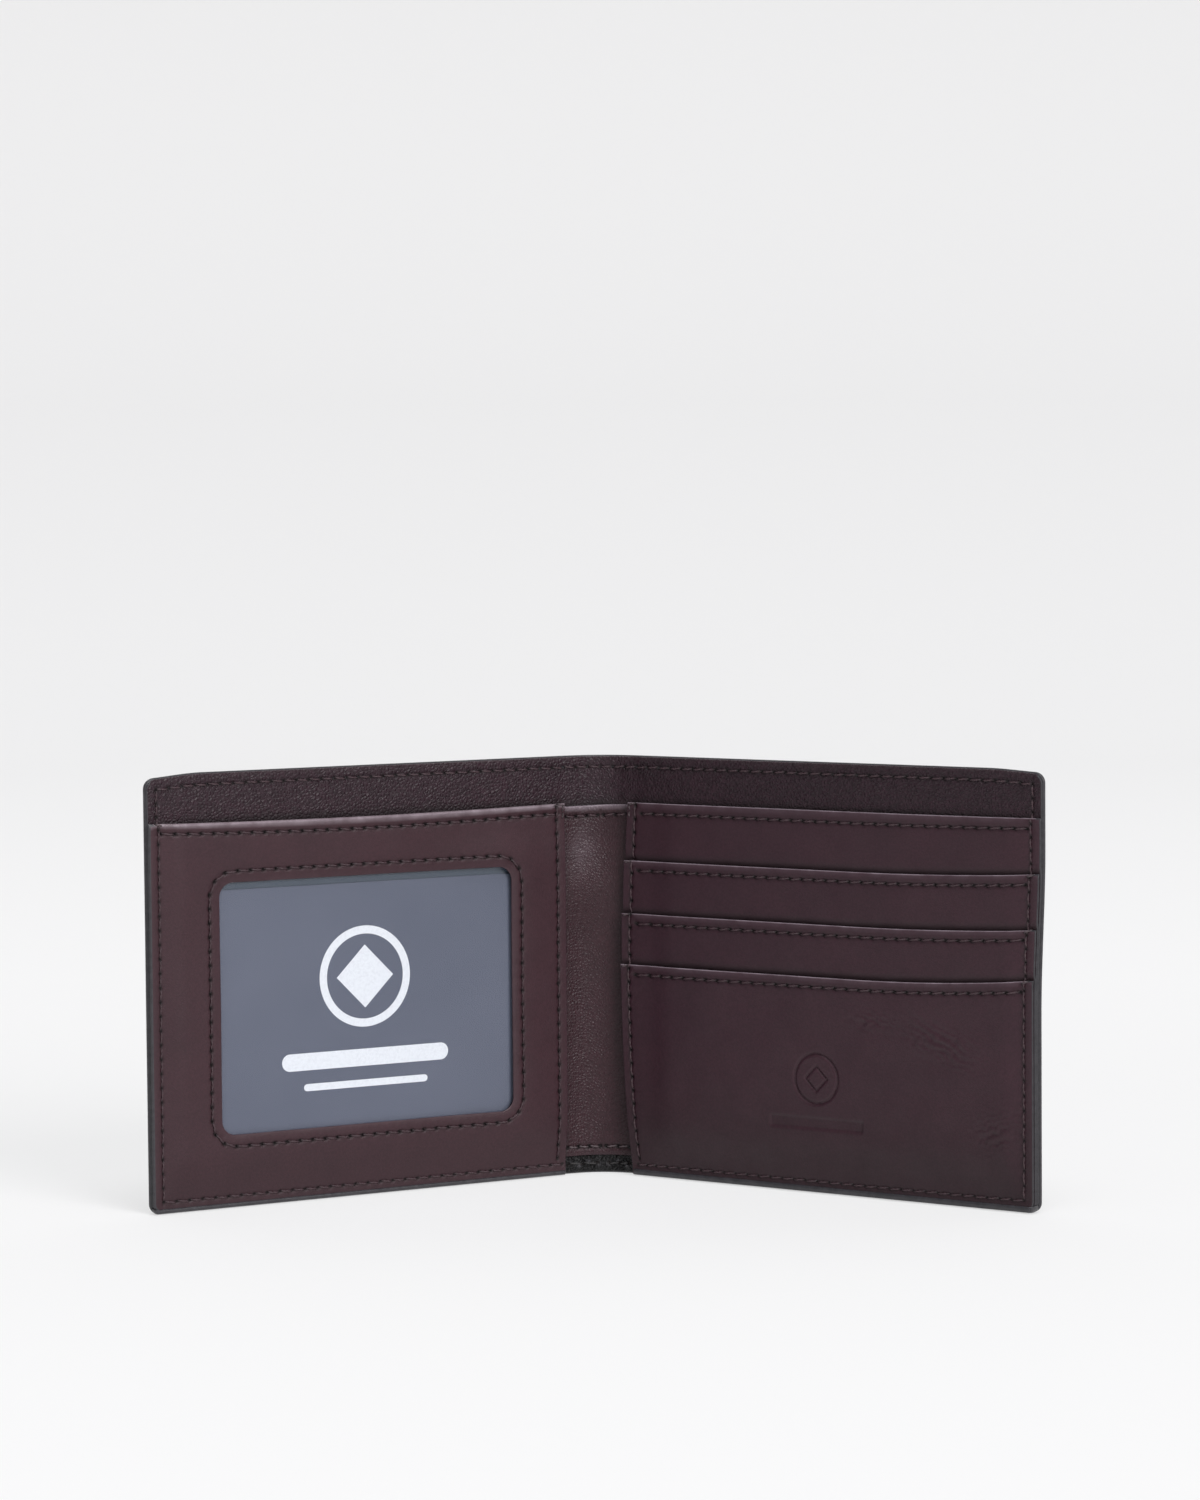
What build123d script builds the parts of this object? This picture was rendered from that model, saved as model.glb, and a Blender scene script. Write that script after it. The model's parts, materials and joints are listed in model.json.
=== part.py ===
from build123d import *
import math
import os

# Bifold wallet, standing on its bottom edge and open like a book.
# Each half is a stack of flat sheets, and the spine between them is a stack of curved strips.
# An ID pocket with a clear window is on the left half, and three card slots are on the right half.
# A bill compartment runs behind both, open at the top.
# Millimetres, +Z up. The wallet opens towards -Y and its spine is at +Y.

# ---- driving dimensions ----
HEIGHT = 90.0  # cover height, and the closed wallet's height
PANEL_TOP = 80.0  # top of the pocket panels, where the bill compartment opens
HALF_LENGTH = 98.2  # fold line to outer edge
SPINE_WIDTH = 17.0  # developed width of the spine between the two fold lines
HALF_ANGLE = 32.5  # each half, turned forward from flat, in degrees
FOLD_SETBACK = 0.5  # cover sheets stop this far from a fold line
CORNER_R = 3.0  # outer corners of the covers
PANEL_START = 2.0  # pocket panels start this far outside the fold line
DIVIDER_START = 1.2  # the bill divider starts this far outside the fold line

# ---- sheet thicknesses and gaps, from the outside of the cover inwards ----
COVER_T = 0.8
CORE_T = 0.3  # reinforcement board, let into the cover leather
LINING_T = 0.5
BILL_GAP = 0.4
DIVIDER_CLOTH_T = 0.25
DIVIDER_T = 0.55
ID_GAP = 0.6  # the insert slides in it
FILM_T = 0.2
ID_FRAME_T = 0.6
POCKET_T = 0.5
CARD_GAP = 0.3  # an empty slot, which gives when a card goes in
FRONT_POCKET_T = 0.6

# ---- ID window and its insert card ----
WINDOW_START = 14.0  # from the fold line
WINDOW_WIDTH = 69.6
WINDOW_BOTTOM = 15.2
WINDOW_HEIGHT = 52.0
WINDOW_R = 3.0
FILM_MARGIN = 5.0  # the film is this much wider than the window, all round
INSERT_WIDTH = 86.0
INSERT_HEIGHT = 61.4
INSERT_T = 0.4
INSERT_R = 3.0
INSERT_REST = 3.6  # the insert stands on the pocket's bottom seam

# ---- card slots: height of each mouth, and of the seam that a card stands on ----
UPPER_MOUTH = 67.6
MIDDLE_MOUTH = 56.3
FRONT_MOUTH = 45.4
POCKET_BAND = 15.3  # leather band of a slot, below its mouth
UPPER_FLOOR = 22.0
MIDDLE_FLOOR = 11.0

# ---- centre strip of the bill divider ----
STRIP_HALF_ANGLE = 25.0
STRIP_BOTTOM = 3.9
STRIP_TOP = 79.5

# ---- seams ----
STITCH_PITCH = 2.9
STITCH_LENGTH = 2.1
STITCH_WIDTH = 0.5
STITCH_T = 0.25
EDGE_SEAM = 2.2  # outer and top seams, from the cover's edge
BOTTOM_SEAM = 2.5
HEM_SEAM = 2.1  # below a pocket's mouth
SIDE_SEAM = 2.25  # beside the spine, from the panel's edge
WINDOW_SEAM = 2.4  # outside the window
GROOVE_WIDTH = 0.8  # stitching groove in the outside of the cover
GROOVE_DEPTH = 0.3
ROW_MARGIN = 1.0  # bare leather at each end of a row that meets another row
ROW_END_ANGLE = 2.0  # the same across the spine, in degrees
TAPE_WIDTH = 3.4  # tape that joins the sheets along a seam
CORE_MARGIN = 5.0

# ---- places worked out from the driving dimensions ----
ANGLE = math.radians(HALF_ANGLE)
FOLD_W = (COVER_T + LINING_T) / 2  # the fold lines lie half way through cover and lining
SPINE_R = SPINE_WIDTH / 2 / ANGLE  # spine radius at the fold lines
FOLD_X = SPINE_R * math.sin(ANGLE)
FOLD_Y = SPINE_R * math.cos(ANGLE)

LINING_W = COVER_T
BILL_W = LINING_W + LINING_T
DIVIDER_CLOTH_W = BILL_W + BILL_GAP
DIVIDER_W = DIVIDER_CLOTH_W + DIVIDER_CLOTH_T
POCKETS_W = DIVIDER_W + DIVIDER_T  # front of the divider, where both pocket stacks start
ID_FRAME_W = POCKETS_W + ID_GAP + FILM_T
ID_FACE_W = ID_FRAME_W + ID_FRAME_T
PANEL_FACE_W = POCKETS_W + POCKET_T
UPPER_W = PANEL_FACE_W + CARD_GAP
UPPER_FACE_W = UPPER_W + POCKET_T
MIDDLE_W = UPPER_FACE_W + CARD_GAP
MIDDLE_FACE_W = MIDDLE_W + POCKET_T
FRONT_W = MIDDLE_FACE_W + CARD_GAP
FRONT_FACE_W = FRONT_W + FRONT_POCKET_T

THREAD_OUTSIDE_W = GROOVE_DEPTH - STITCH_T
OUTER_SEAM_A = HALF_LENGTH - EDGE_SEAM
SEAM_A = (FOLD_SETBACK + ROW_MARGIN / 2, OUTER_SEAM_A)
SEAM_Z = (BOTTOM_SEAM, HEIGHT - EDGE_SEAM)
HEM_A = (PANEL_START + SIDE_SEAM + ROW_MARGIN, OUTER_SEAM_A - ROW_MARGIN)  # hems of the card half


def block(a_range, z_range, w_range):
    """A box in half coordinates: a outward from the fold line, z up, w inward from the cover's outside."""
    (a0, a1), (z0, z1), (w0, w1) = a_range, z_range, w_range
    centre = ((a0 + a1) / 2, FOLD_W - (w0 + w1) / 2, (z0 + z1) / 2)
    return Pos(*centre) * Box(a1 - a0, w1 - w0, z1 - z0)


def sheet(a_range, z_range, w_range, rounded=("bottom",)):
    """A flat sheet of a half, with the named outer corners rounded like the cover's."""
    body = block(a_range, z_range, w_range)
    outer = body.edges().filter_by(Axis.Y).group_by(Axis.X)[-1].sort_by(Axis.Z)
    corners = [edge for name, edge in zip(("bottom", "top"), outer) if name in rounded]
    return fillet(corners, CORNER_R) if corners else body


def curved(half_angle, z_range, w_range):
    """A curved strip of the spine, about the spine's own centre line."""
    radii = [SPINE_R + FOLD_W - w for w in w_range]
    arcs = [CenterArc((0, 0), r, 90 - half_angle, 2 * half_angle) for r in radii]
    ends = [Line(arcs[0] @ t, arcs[1] @ t) for t in (0, 1)]
    profile = make_face([*arcs, *ends])
    return Pos(0, 0, z_range[0]) * extrude(profile, z_range[1] - z_range[0])


def place(side, shape):
    """Moves a shape from half coordinates to its half of the open wallet."""
    sign = -1 if side == "left" else 1
    if side == "left":
        shape = mirror(shape, about=Plane.YZ)
    return Location((sign * FOLD_X, FOLD_Y, 0), (0, 0, -sign * HALF_ANGLE)) * shape


def spread(start, end):
    """Middles of the stitches of a straight row."""
    count = round((end - start) / STITCH_PITCH)
    step = (end - start) / count
    return [start + step * (i + 0.5) for i in range(count)]


def stitch(a, z, w, tilt=0.0):
    """One stitch, whose outer face is at depth w. tilt 0 runs outward along the half, 90 runs up."""
    bar = Box(STITCH_LENGTH, STITCH_T, STITCH_WIDTH)
    return Location((a, FOLD_W - w - STITCH_T / 2, z), (0, -tilt, 0)) * bar


def left_surface(z):
    """Front of the sheet that shows on the left half, near its outer edge, at height z."""
    return ID_FACE_W if z - STITCH_LENGTH / 2 < PANEL_TOP else BILL_W


def right_surface(z):
    """Front of the sheet that shows on the right half at height z."""
    low = z - STITCH_LENGTH / 2
    for mouth, face in (
        (FRONT_MOUTH, FRONT_FACE_W),
        (MIDDLE_MOUTH, MIDDLE_FACE_W),
        (UPPER_MOUTH, UPPER_FACE_W),
        (PANEL_TOP, PANEL_FACE_W),
    ):
        if low < mouth:
            return face
    return BILL_W


def upright_row(a, z_range, surface):
    return [stitch(a, z, surface(z), tilt=90) for z in spread(*z_range)]


def level_row(z, a_range, w):
    return [stitch(a, z, w) for a in spread(*a_range)]


def perimeter_rows(surface, bottom_w):
    """Inside threads of a half: outer edge, bottom edge, and the cover's top edge."""
    return [
        *upright_row(OUTER_SEAM_A, SEAM_Z, surface),
        *level_row(BOTTOM_SEAM, (PANEL_START + ROW_MARGIN, OUTER_SEAM_A), bottom_w),
        *level_row(HEIGHT - EDGE_SEAM, SEAM_A, BILL_W),
    ]


def outside_rows():
    """Threads of a half on the outside of its cover, lying in the stitching groove."""
    rows = [stitch(OUTER_SEAM_A, z, THREAD_OUTSIDE_W, tilt=90) for z in spread(*SEAM_Z)]
    for z in SEAM_Z:
        rows += level_row(z, SEAM_A, THREAD_OUTSIDE_W)
    return rows


def window_rows():
    """Threads round the ID window: a rounded rectangle outside the window's edge."""
    width = WINDOW_WIDTH + 2 * WINDOW_SEAM
    height = WINDOW_HEIGHT + 2 * WINDOW_SEAM
    path = RectangleRounded(width, height, WINDOW_R + WINDOW_SEAM).wire()
    centre_a = WINDOW_START + WINDOW_WIDTH / 2
    centre_z = WINDOW_BOTTOM + WINDOW_HEIGHT / 2
    count = round(path.length / STITCH_PITCH)
    stitches = []
    for i in range(count):
        point = path @ ((i + 0.5) / count)
        along = path % ((i + 0.5) / count)
        tilt = math.degrees(math.atan2(along.Y, along.X))
        stitches.append(stitch(centre_a + point.X, centre_z + point.Y, ID_FACE_W, tilt))
    return stitches


def on_hollow(radius):
    """Radius of the middle of a straight stitch whose ends touch a hollow curve from inside."""
    return math.sqrt(radius**2 - (STITCH_LENGTH / 2) ** 2) - STITCH_T / 2


def spine_row(z, middle, half_angle):
    """Threads across the spine, level, with their middles on one radius."""
    count = round(2 * math.radians(half_angle) * middle / STITCH_PITCH)
    step = 2 * half_angle / count
    bar = Box(STITCH_LENGTH, STITCH_T, STITCH_WIDTH)
    row = []
    for i in range(count):
        turn = half_angle - step * (i + 0.5)
        angle = math.radians(90 - turn)
        spot = (middle * math.cos(angle), middle * math.sin(angle), z)
        row.append(Location(spot, (0, 0, -turn)) * bar)
    return row


def cover(side):
    """Outer leather of a half, with a recess for its reinforcement and a stitching groove outside."""
    body = sheet((FOLD_SETBACK, HALF_LENGTH), (0, HEIGHT), (0, COVER_T), ("bottom", "top"))
    body -= core_block()
    groove = (0, GROOVE_DEPTH)
    half_width = GROOVE_WIDTH / 2
    end_a = OUTER_SEAM_A + half_width
    low_z, high_z = SEAM_Z[0] - half_width, SEAM_Z[1] + half_width
    body -= block((OUTER_SEAM_A - half_width, end_a), (low_z, high_z), groove)
    for z in SEAM_Z:
        body -= block((FOLD_SETBACK, end_a), (z - half_width, z + half_width), groove)
    return place(side, body)


def core_block():
    """Reinforcement board inside a cover."""
    return block(
        (CORE_MARGIN, HALF_LENGTH - CORE_MARGIN),
        (CORE_MARGIN, HEIGHT - CORE_MARGIN),
        (COVER_T - CORE_T, COVER_T),
    )


def tapes(mouth, w_range, floor=None, spine_side=True):
    """Tape strips that join two sheets along their sewn sides, and along the seam a card stands on."""
    inner_a = PANEL_START + TAPE_WIDTH if spine_side else PANEL_START
    outer_a = HALF_LENGTH - TAPE_WIDTH
    floor_top = floor if floor else TAPE_WIDTH
    strips = [sheet((outer_a, HALF_LENGTH), (0, mouth), w_range)]
    strips.append(block((inner_a, outer_a), (floor_top - TAPE_WIDTH, floor_top), w_range))
    if spine_side:
        strips.append(block((PANEL_START, inner_a), (0, mouth), w_range))
    return strips


def half_common(side):
    """Sheets that both halves have: cover, reinforcement, lining and the bill divider."""
    divider_a = (DIVIDER_START, HALF_LENGTH)
    panel_z = (0, PANEL_TOP)
    lining = sheet((FOLD_SETBACK, HALF_LENGTH), (0, HEIGHT), (LINING_W, BILL_W), ("bottom", "top"))
    return {
        f"cover_{side}": cover(side),
        f"cover_core_{side}": place(side, core_block()),
        f"cover_lining_{side}": place(side, lining),
        f"divider_cloth_{side}": place(side, sheet(divider_a, panel_z, (DIVIDER_CLOTH_W, DIVIDER_W))),
        f"divider_{side}": place(side, sheet(divider_a, panel_z, (DIVIDER_W, POCKETS_W))),
        f"bill_tape_{side}": group(side, tapes(PANEL_TOP, (BILL_W, DIVIDER_CLOTH_W), spine_side=False)),
        f"thread_outside_{side}": group(side, outside_rows()),
    }


def group(side, shapes):
    """Separate solids of one node, placed on their half."""
    return Compound([place(side, shape) for shape in shapes])


def id_window_cut():
    """The window's opening through the ID frame."""
    outline = RectangleRounded(WINDOW_WIDTH, WINDOW_HEIGHT, WINDOW_R)
    cutter = extrude(Plane.XZ * outline, ID_FRAME_T * 2, both=True)
    centre_a = WINDOW_START + WINDOW_WIDTH / 2
    centre_z = WINDOW_BOTTOM + WINDOW_HEIGHT / 2
    return Pos(centre_a, FOLD_W - ID_FRAME_W, centre_z) * cutter


def left_pockets():
    """ID pocket: frame with its window, clear film and joining tape."""
    panel_a = (PANEL_START, HALF_LENGTH)
    frame = sheet(panel_a, (0, PANEL_TOP), (ID_FRAME_W, ID_FACE_W)) - id_window_cut()
    film = block(
        (WINDOW_START - FILM_MARGIN, WINDOW_START + WINDOW_WIDTH + FILM_MARGIN),
        (WINDOW_BOTTOM - FILM_MARGIN, WINDOW_BOTTOM + WINDOW_HEIGHT + FILM_MARGIN),
        (ID_FRAME_W - FILM_T, ID_FRAME_W),
    )
    hem_a = (PANEL_START + ROW_MARGIN, OUTER_SEAM_A - ROW_MARGIN)
    side_z = (BOTTOM_SEAM + ROW_MARGIN, PANEL_TOP - HEM_SEAM - ROW_MARGIN)
    side_row = upright_row(PANEL_START + SIDE_SEAM, side_z, left_surface)
    return {
        "id_frame": place("left", frame),
        "id_film": place("left", film),
        "id_tape": group("left", tapes(PANEL_TOP, (POCKETS_W, ID_FRAME_W))),
        "thread_id_window": group("left", window_rows()),
        "thread_id_hem": group("left", level_row(PANEL_TOP - HEM_SEAM, hem_a, ID_FACE_W)),
        "thread_id_side": group("left", side_row),
        "thread_edge_left": group("left", perimeter_rows(left_surface, ID_FACE_W)),
    }


def insert_card():
    """Printed placeholder card that slides up out of the ID pocket."""
    outline = RectangleRounded(INSERT_WIDTH, INSERT_HEIGHT, INSERT_R)
    body = extrude(Plane.XZ * outline, INSERT_T / 2, both=True)
    middle_w = POCKETS_W + ID_GAP / 2
    centre_a = (PANEL_START + HALF_LENGTH) / 2
    centre_z = INSERT_REST + INSERT_HEIGHT / 2
    return place("left", Pos(centre_a, FOLD_W - middle_w, centre_z) * body)


def card_pocket(name, mouth, back_w, floor):
    """A card slot's leather band, the cloth below it, and the tape and hem thread that go with it."""
    panel_a = (PANEL_START, HALF_LENGTH)
    face_w = back_w + POCKET_T
    band = block(panel_a, (mouth - POCKET_BAND, mouth), (back_w, face_w))
    cloth = block(panel_a, (floor - TAPE_WIDTH, mouth - POCKET_BAND), (back_w, face_w))
    return {
        f"card_pocket_{name}": place("right", band),
        f"card_cloth_{name}": place("right", cloth),
        f"card_tape_{name}": group("right", tapes(mouth, (back_w - CARD_GAP, back_w), floor)),
        f"thread_{name}_hem": group("right", level_row(mouth - HEM_SEAM, HEM_A, face_w)),
    }


def right_pockets():
    """Card side: base panel, two T-shaped slots and the full front pocket."""
    panel_a = (PANEL_START, HALF_LENGTH)
    side_z = (BOTTOM_SEAM + ROW_MARGIN, PANEL_TOP - ROW_MARGIN)
    side_row = upright_row(PANEL_START + SIDE_SEAM, side_z, right_surface)
    panel_hem = level_row(PANEL_TOP - HEM_SEAM, HEM_A, PANEL_FACE_W)
    front_hem = level_row(FRONT_MOUTH - HEM_SEAM, HEM_A, FRONT_FACE_W)
    return {
        "card_panel": place("right", sheet(panel_a, (0, PANEL_TOP), (POCKETS_W, PANEL_FACE_W))),
        **card_pocket("upper", UPPER_MOUTH, UPPER_W, UPPER_FLOOR),
        **card_pocket("middle", MIDDLE_MOUTH, MIDDLE_W, MIDDLE_FLOOR),
        "card_pocket_front": place("right", sheet(panel_a, (0, FRONT_MOUTH), (FRONT_W, FRONT_FACE_W))),
        "card_tape_front": group("right", tapes(FRONT_MOUTH, (MIDDLE_FACE_W, FRONT_W))),
        "thread_panel_hem": group("right", panel_hem),
        "thread_front_hem": group("right", front_hem),
        "thread_card_side": group("right", side_row),
        "thread_edge_right": group("right", perimeter_rows(right_surface, FRONT_FACE_W)),
    }


def spine_parts():
    """Curved middle of the wallet: cover, lining and the divider's centre strip."""
    cover_angle = HALF_ANGLE - math.degrees(FOLD_SETBACK / SPINE_R)
    outer_r = SPINE_R + FOLD_W
    body = curved(cover_angle, (0, HEIGHT), (0, COVER_T))
    for z in SEAM_Z:
        span = (z - GROOVE_WIDTH / 2, z + GROOVE_WIDTH / 2)
        body -= curved(HALF_ANGLE, span, (-GROOVE_DEPTH, GROOVE_DEPTH))
    strip_z = (STRIP_BOTTOM, STRIP_TOP)
    hems = (STRIP_BOTTOM + HEM_SEAM, STRIP_TOP - HEM_SEAM)
    row_angle = cover_angle - ROW_END_ANGLE
    strip_row_angle = STRIP_HALF_ANGLE - ROW_END_ANGLE
    outside_r = outer_r - THREAD_OUTSIDE_W - STITCH_T / 2
    strip_rows = [bar for z in hems for bar in spine_row(z, on_hollow(outer_r - POCKETS_W), strip_row_angle)]
    edge_rows = [bar for z in SEAM_Z for bar in spine_row(z, on_hollow(outer_r - BILL_W), row_angle)]
    outside = [bar for z in SEAM_Z for bar in spine_row(z, outside_r, row_angle)]
    return {
        "cover_spine": body,
        "cover_lining_spine": curved(cover_angle, (0, HEIGHT), (LINING_W, BILL_W)),
        "divider_cloth_strip": curved(STRIP_HALF_ANGLE, strip_z, (DIVIDER_CLOTH_W, DIVIDER_W)),
        "divider_strip": curved(STRIP_HALF_ANGLE, strip_z, (DIVIDER_W, POCKETS_W)),
        "thread_strip": Compound(strip_rows),
        "thread_edge_spine": Compound(edge_rows),
        "thread_outside_spine": Compound(outside),
    }


parts = {
    **spine_parts(),
    **half_common("left"),
    **left_pockets(),
    "insert_card": insert_card(),
    **half_common("right"),
    **right_pockets(),
}

# The origin is at the middle of the footprint, on the surface that the wallet stands on.
boxes = [shape.bounding_box() for shape in parts.values()]
middle_x = (min(b.min.X for b in boxes) + max(b.max.X for b in boxes)) / 2
middle_y = (min(b.min.Y for b in boxes) + max(b.max.Y for b in boxes)) / 2
to_origin = Pos(-middle_x, -middle_y, 0)

os.makedirs("parts", exist_ok=True)
for name, shape in parts.items():
    export_step(to_origin * shape, f"parts/{name}.step")
print("nodes", len(parts))
print("fold lines at x", round(FOLD_X, 4), "y", round(FOLD_Y - middle_y, 4), "middle_x", round(middle_x, 4))
print("spine centre at y", round(-middle_y, 4))
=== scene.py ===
import json
import math

import bmesh
import bpy
import numpy as np
from mathutils import Matrix, Vector, geometry, kdtree


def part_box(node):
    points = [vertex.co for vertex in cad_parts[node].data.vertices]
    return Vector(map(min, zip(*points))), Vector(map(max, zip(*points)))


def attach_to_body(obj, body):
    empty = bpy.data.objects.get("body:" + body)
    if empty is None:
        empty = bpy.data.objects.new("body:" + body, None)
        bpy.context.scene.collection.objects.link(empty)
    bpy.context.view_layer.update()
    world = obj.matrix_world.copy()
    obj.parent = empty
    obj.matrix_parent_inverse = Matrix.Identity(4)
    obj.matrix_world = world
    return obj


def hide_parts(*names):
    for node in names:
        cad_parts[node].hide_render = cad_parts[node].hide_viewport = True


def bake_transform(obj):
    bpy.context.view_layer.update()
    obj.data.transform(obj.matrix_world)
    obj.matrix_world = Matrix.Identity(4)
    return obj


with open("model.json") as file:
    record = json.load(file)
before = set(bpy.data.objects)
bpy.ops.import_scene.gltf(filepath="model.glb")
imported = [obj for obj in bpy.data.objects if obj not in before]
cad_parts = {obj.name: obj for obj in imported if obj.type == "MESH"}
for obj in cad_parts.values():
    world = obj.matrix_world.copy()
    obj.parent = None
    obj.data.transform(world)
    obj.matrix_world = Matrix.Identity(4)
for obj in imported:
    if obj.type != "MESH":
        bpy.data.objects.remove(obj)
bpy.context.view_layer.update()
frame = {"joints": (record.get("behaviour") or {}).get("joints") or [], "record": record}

# Bifold wallet. Lengths are in millimetres, and become metres in place().
# A half is described by a, outward from its fold line, z, up, and w, inward from the
# cover's outside.

MM = 0.001

# ---- taken from the frame ----
joints = {joint["name"]: joint for joint in frame["joints"]}
mounts = {mount["name"]: mount for mount in frame["record"]["mounts"]}
FOLD = Vector(joints["fold_right"]["pos_m"]) / MM
OUTWARD = Vector(mounts["right_outside"]["axis"])
HALF_ANGLE = math.atan2(OUTWARD.x, OUTWARD.y)
FOLD_DEPTH = (Vector(mounts["right_outside"]["pos_m"]) / MM - FOLD).dot(OUTWARD)
COVER_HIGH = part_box("cover_right")[1] / MM
HEIGHT = COVER_HIGH.z
HALF_LENGTH = (COVER_HIGH.x - FOLD.x - FOLD_DEPTH * math.sin(HALF_ANGLE)) / math.cos(HALF_ANGLE)
PANEL_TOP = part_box("id_frame")[1].z / MM
UPPER_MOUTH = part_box("card_pocket_upper")[1].z / MM
MIDDLE_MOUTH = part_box("card_pocket_middle")[1].z / MM
FRONT_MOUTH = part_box("card_pocket_front")[1].z / MM
STRIP_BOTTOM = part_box("divider_strip")[0].z / MM
STRIP_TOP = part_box("divider_strip")[1].z / MM
INSERT_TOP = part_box("insert_card")[1].z / MM

# ---- shape of the leather ----
BEND_END = 10.5  # the spine's curve ends this far from its centre, along the cover
BEND_STEPS = 600
BLEND_REACH = 7.0  # leather bends this far each side of a fold line
ID_EDGE = 0.85  # spine-side edge of the ID panel
CARD_EDGE = -1.6  # spine-side edge of the card panel
WINDOW = (14.4, 82.5, 15.2, 67.2)
WINDOW_R = 3.0
INSERT_SPAN = (7.2, 93.0)
CORNER_R = 2.1
CORNER_DROOP = {"left": 0.95, "right": 0.65}
STITCH_PITCH = 2.9
EDGE_SEAM = 2.5
BOTTOM_SEAM = 2.5
HEM_SEAM = 2.1
SIDE_SEAM = 2.2
WINDOW_SEAM = 2.4
INSET = 0.25  # panels end this far inside the half's outer and bottom edges

# ---- depth of each sheet: back and face, along the sewn edges and in the middle ----
DEPTHS = {
    "cover": ((0.0, 1.25), (0.0, 1.25)),
    "lining": ((1.15, 1.55), (1.15, 1.55)),
    "divider": ((1.57, 1.85), (1.80, 2.15)),
    "strip": ((1.62, 1.95), (1.62, 1.95)),
    "frame": ((1.86, 2.50), (2.85, 3.45)),
    "panel": ((1.86, 2.30), (2.18, 2.70)),
    "upper": ((2.31, 2.75), (2.80, 3.35)),
    "middle": ((2.76, 3.15), (3.45, 4.00)),
    "front": ((3.16, 3.60), (4.10, 4.70)),
}
INSERT_DEPTH = (2.28, 2.50)
SLEEVE_DEPTH = (2.18, 2.24)
FILM_DEPTH = (2.60, 2.72)


def smooth(t):
    t = np.clip(t, 0.0, 1.0)
    return t * t * (3 - 2 * t)


def ramp(value, begin, reach):
    """0 up to where it begins, and 1 from its reach beyond that."""
    return smooth((value - begin) / reach)


def hill(distance, reach):
    """1 at no distance, fading to 0 over a few times the reach."""
    return np.exp(-((distance / reach) ** 2))


def patch_of(a, z, place_a, place_z, reach_a, reach_z):
    """1 at a place, fading out over its reach along a and z."""
    return np.exp(-(((a - place_a) / reach_a) ** 2) - (((z - place_z) / reach_z) ** 2))


# ---- the wallet's bent middle ----

def bend_line():
    """The cover's middle line from the spine's centre to where the half runs straight."""
    u = np.linspace(0.0, BEND_END, BEND_STEPS)
    t = u / BEND_END
    angle = HALF_ANGLE * (1.5 * t - 0.5 * t**3)
    step = u[1] - u[0]
    x = np.concatenate([[0.0], np.cumsum(np.cos((angle[1:] + angle[:-1]) / 2)) * step])
    y = -np.concatenate([[0.0], np.cumsum(np.sin((angle[1:] + angle[:-1]) / 2)) * step])
    end_a = (x[-1] - FOLD.x) / math.cos(HALF_ANGLE)
    y += FOLD.y - end_a * math.sin(HALF_ANGLE) - y[-1]
    return u, x, y, angle, end_a


BEND_U, BEND_X, BEND_Y, BEND_TURN, BEND_END_A = bend_line()
CENTRE_A = BEND_END_A - BEND_END


def place(side, a, z, w):
    """Points of a half, in metres in the row frame."""
    a, z, w = np.broadcast_arrays(*(np.asarray(v, float) for v in (a, z, w)))
    u = a - CENTRE_A
    past = np.maximum(u - BEND_END, 0.0)
    x = np.interp(u, BEND_U, BEND_X) + past * math.cos(HALF_ANGLE)
    y = np.interp(u, BEND_U, BEND_Y) - past * math.sin(HALF_ANGLE)
    turn = np.interp(u, BEND_U, BEND_TURN)
    x = x + np.sin(turn) * (FOLD_DEPTH - w)
    y = y + np.cos(turn) * (FOLD_DEPTH - w)
    sign = -1.0 if side == "left" else 1.0
    return np.stack([sign * x, y, z], axis=-1) * MM


# ---- surfaces ----

SEWN_REACH = 2.6  # the leather is held down this far in from its sewn edges
FREE_REACH = (4.5, 9.0)  # and is free this much further in: from the outer edge, from the foot


def press(a, z, by_spine=0.45, begin=4.0, reach=7.0):
    """0 along the sewn outer and bottom edges, 1 where the pockets are free."""
    from_side = (HALF_LENGTH - a - SEWN_REACH) / FREE_REACH[0]
    outer = smooth(np.minimum(from_side, (z - SEWN_REACH) / FREE_REACH[1]))
    return outer * (by_spine + (1 - by_spine) * ramp(a, begin, reach))


WAVE_COUNT = 7
WAVE_SHORTER = 0.72  # each wave's length against the one before it
WAVE_WEAKER = 0.8  # and its height
WAVE_SUM = 3.0  # roughly what the heights add up to


def waves(a, z, seed, size, longest):
    """Gentle unevenness: a sum of seeded plane waves."""
    rng = np.random.default_rng(seed)
    total = np.zeros(np.broadcast(a, z).shape)
    for k in range(WAVE_COUNT):
        length = longest * WAVE_SHORTER**k
        turn, phase = rng.uniform(0, 2 * math.pi, 2)
        along = a * math.cos(turn) + z * math.sin(turn)
        total = total + WAVE_WEAKER**k * np.sin(2 * math.pi * along / length + phase)
    return total * size / WAVE_SUM


HEM_FOLD = 0.95  # a hem is fullest this far from its mouth
HEM_REACH = 0.85


def hem(z, mouth, size):
    """The folded edge of a pocket, fuller between its seam and its mouth."""
    return size * hill(z - (mouth - HEM_FOLD), HEM_REACH)


def layer(name, side_index, a, z):
    edge, middle = DEPTHS[name][0][side_index], DEPTHS[name][1][side_index]
    free = press(a, z, 0.9, 0.5, 13.0) if name == "frame" else press(a, z)
    return edge + (middle - edge) * free


def from_spine(a):
    """0 at the spine's centre, 1 further out: keeps the two sides smooth where they meet."""
    return ramp(a, CENTRE_A, 6.0)


def lining_face(a, z):
    even = layer("lining", 1, a, z) + waves(a, z, 11, 0.06, 30.0) * from_spine(a)
    return even + foot_bumps(a, z) + spine_creases(a, z)


# place and size of each
FOOT_BUMPS = ((-7.4, 2.0, 0.9), (-5.0, 2.5, 0.8), (-2.6, 1.9, 0.9), (-0.4, 2.4, 0.7))
FOOT_ROUGH = 0.16


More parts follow.
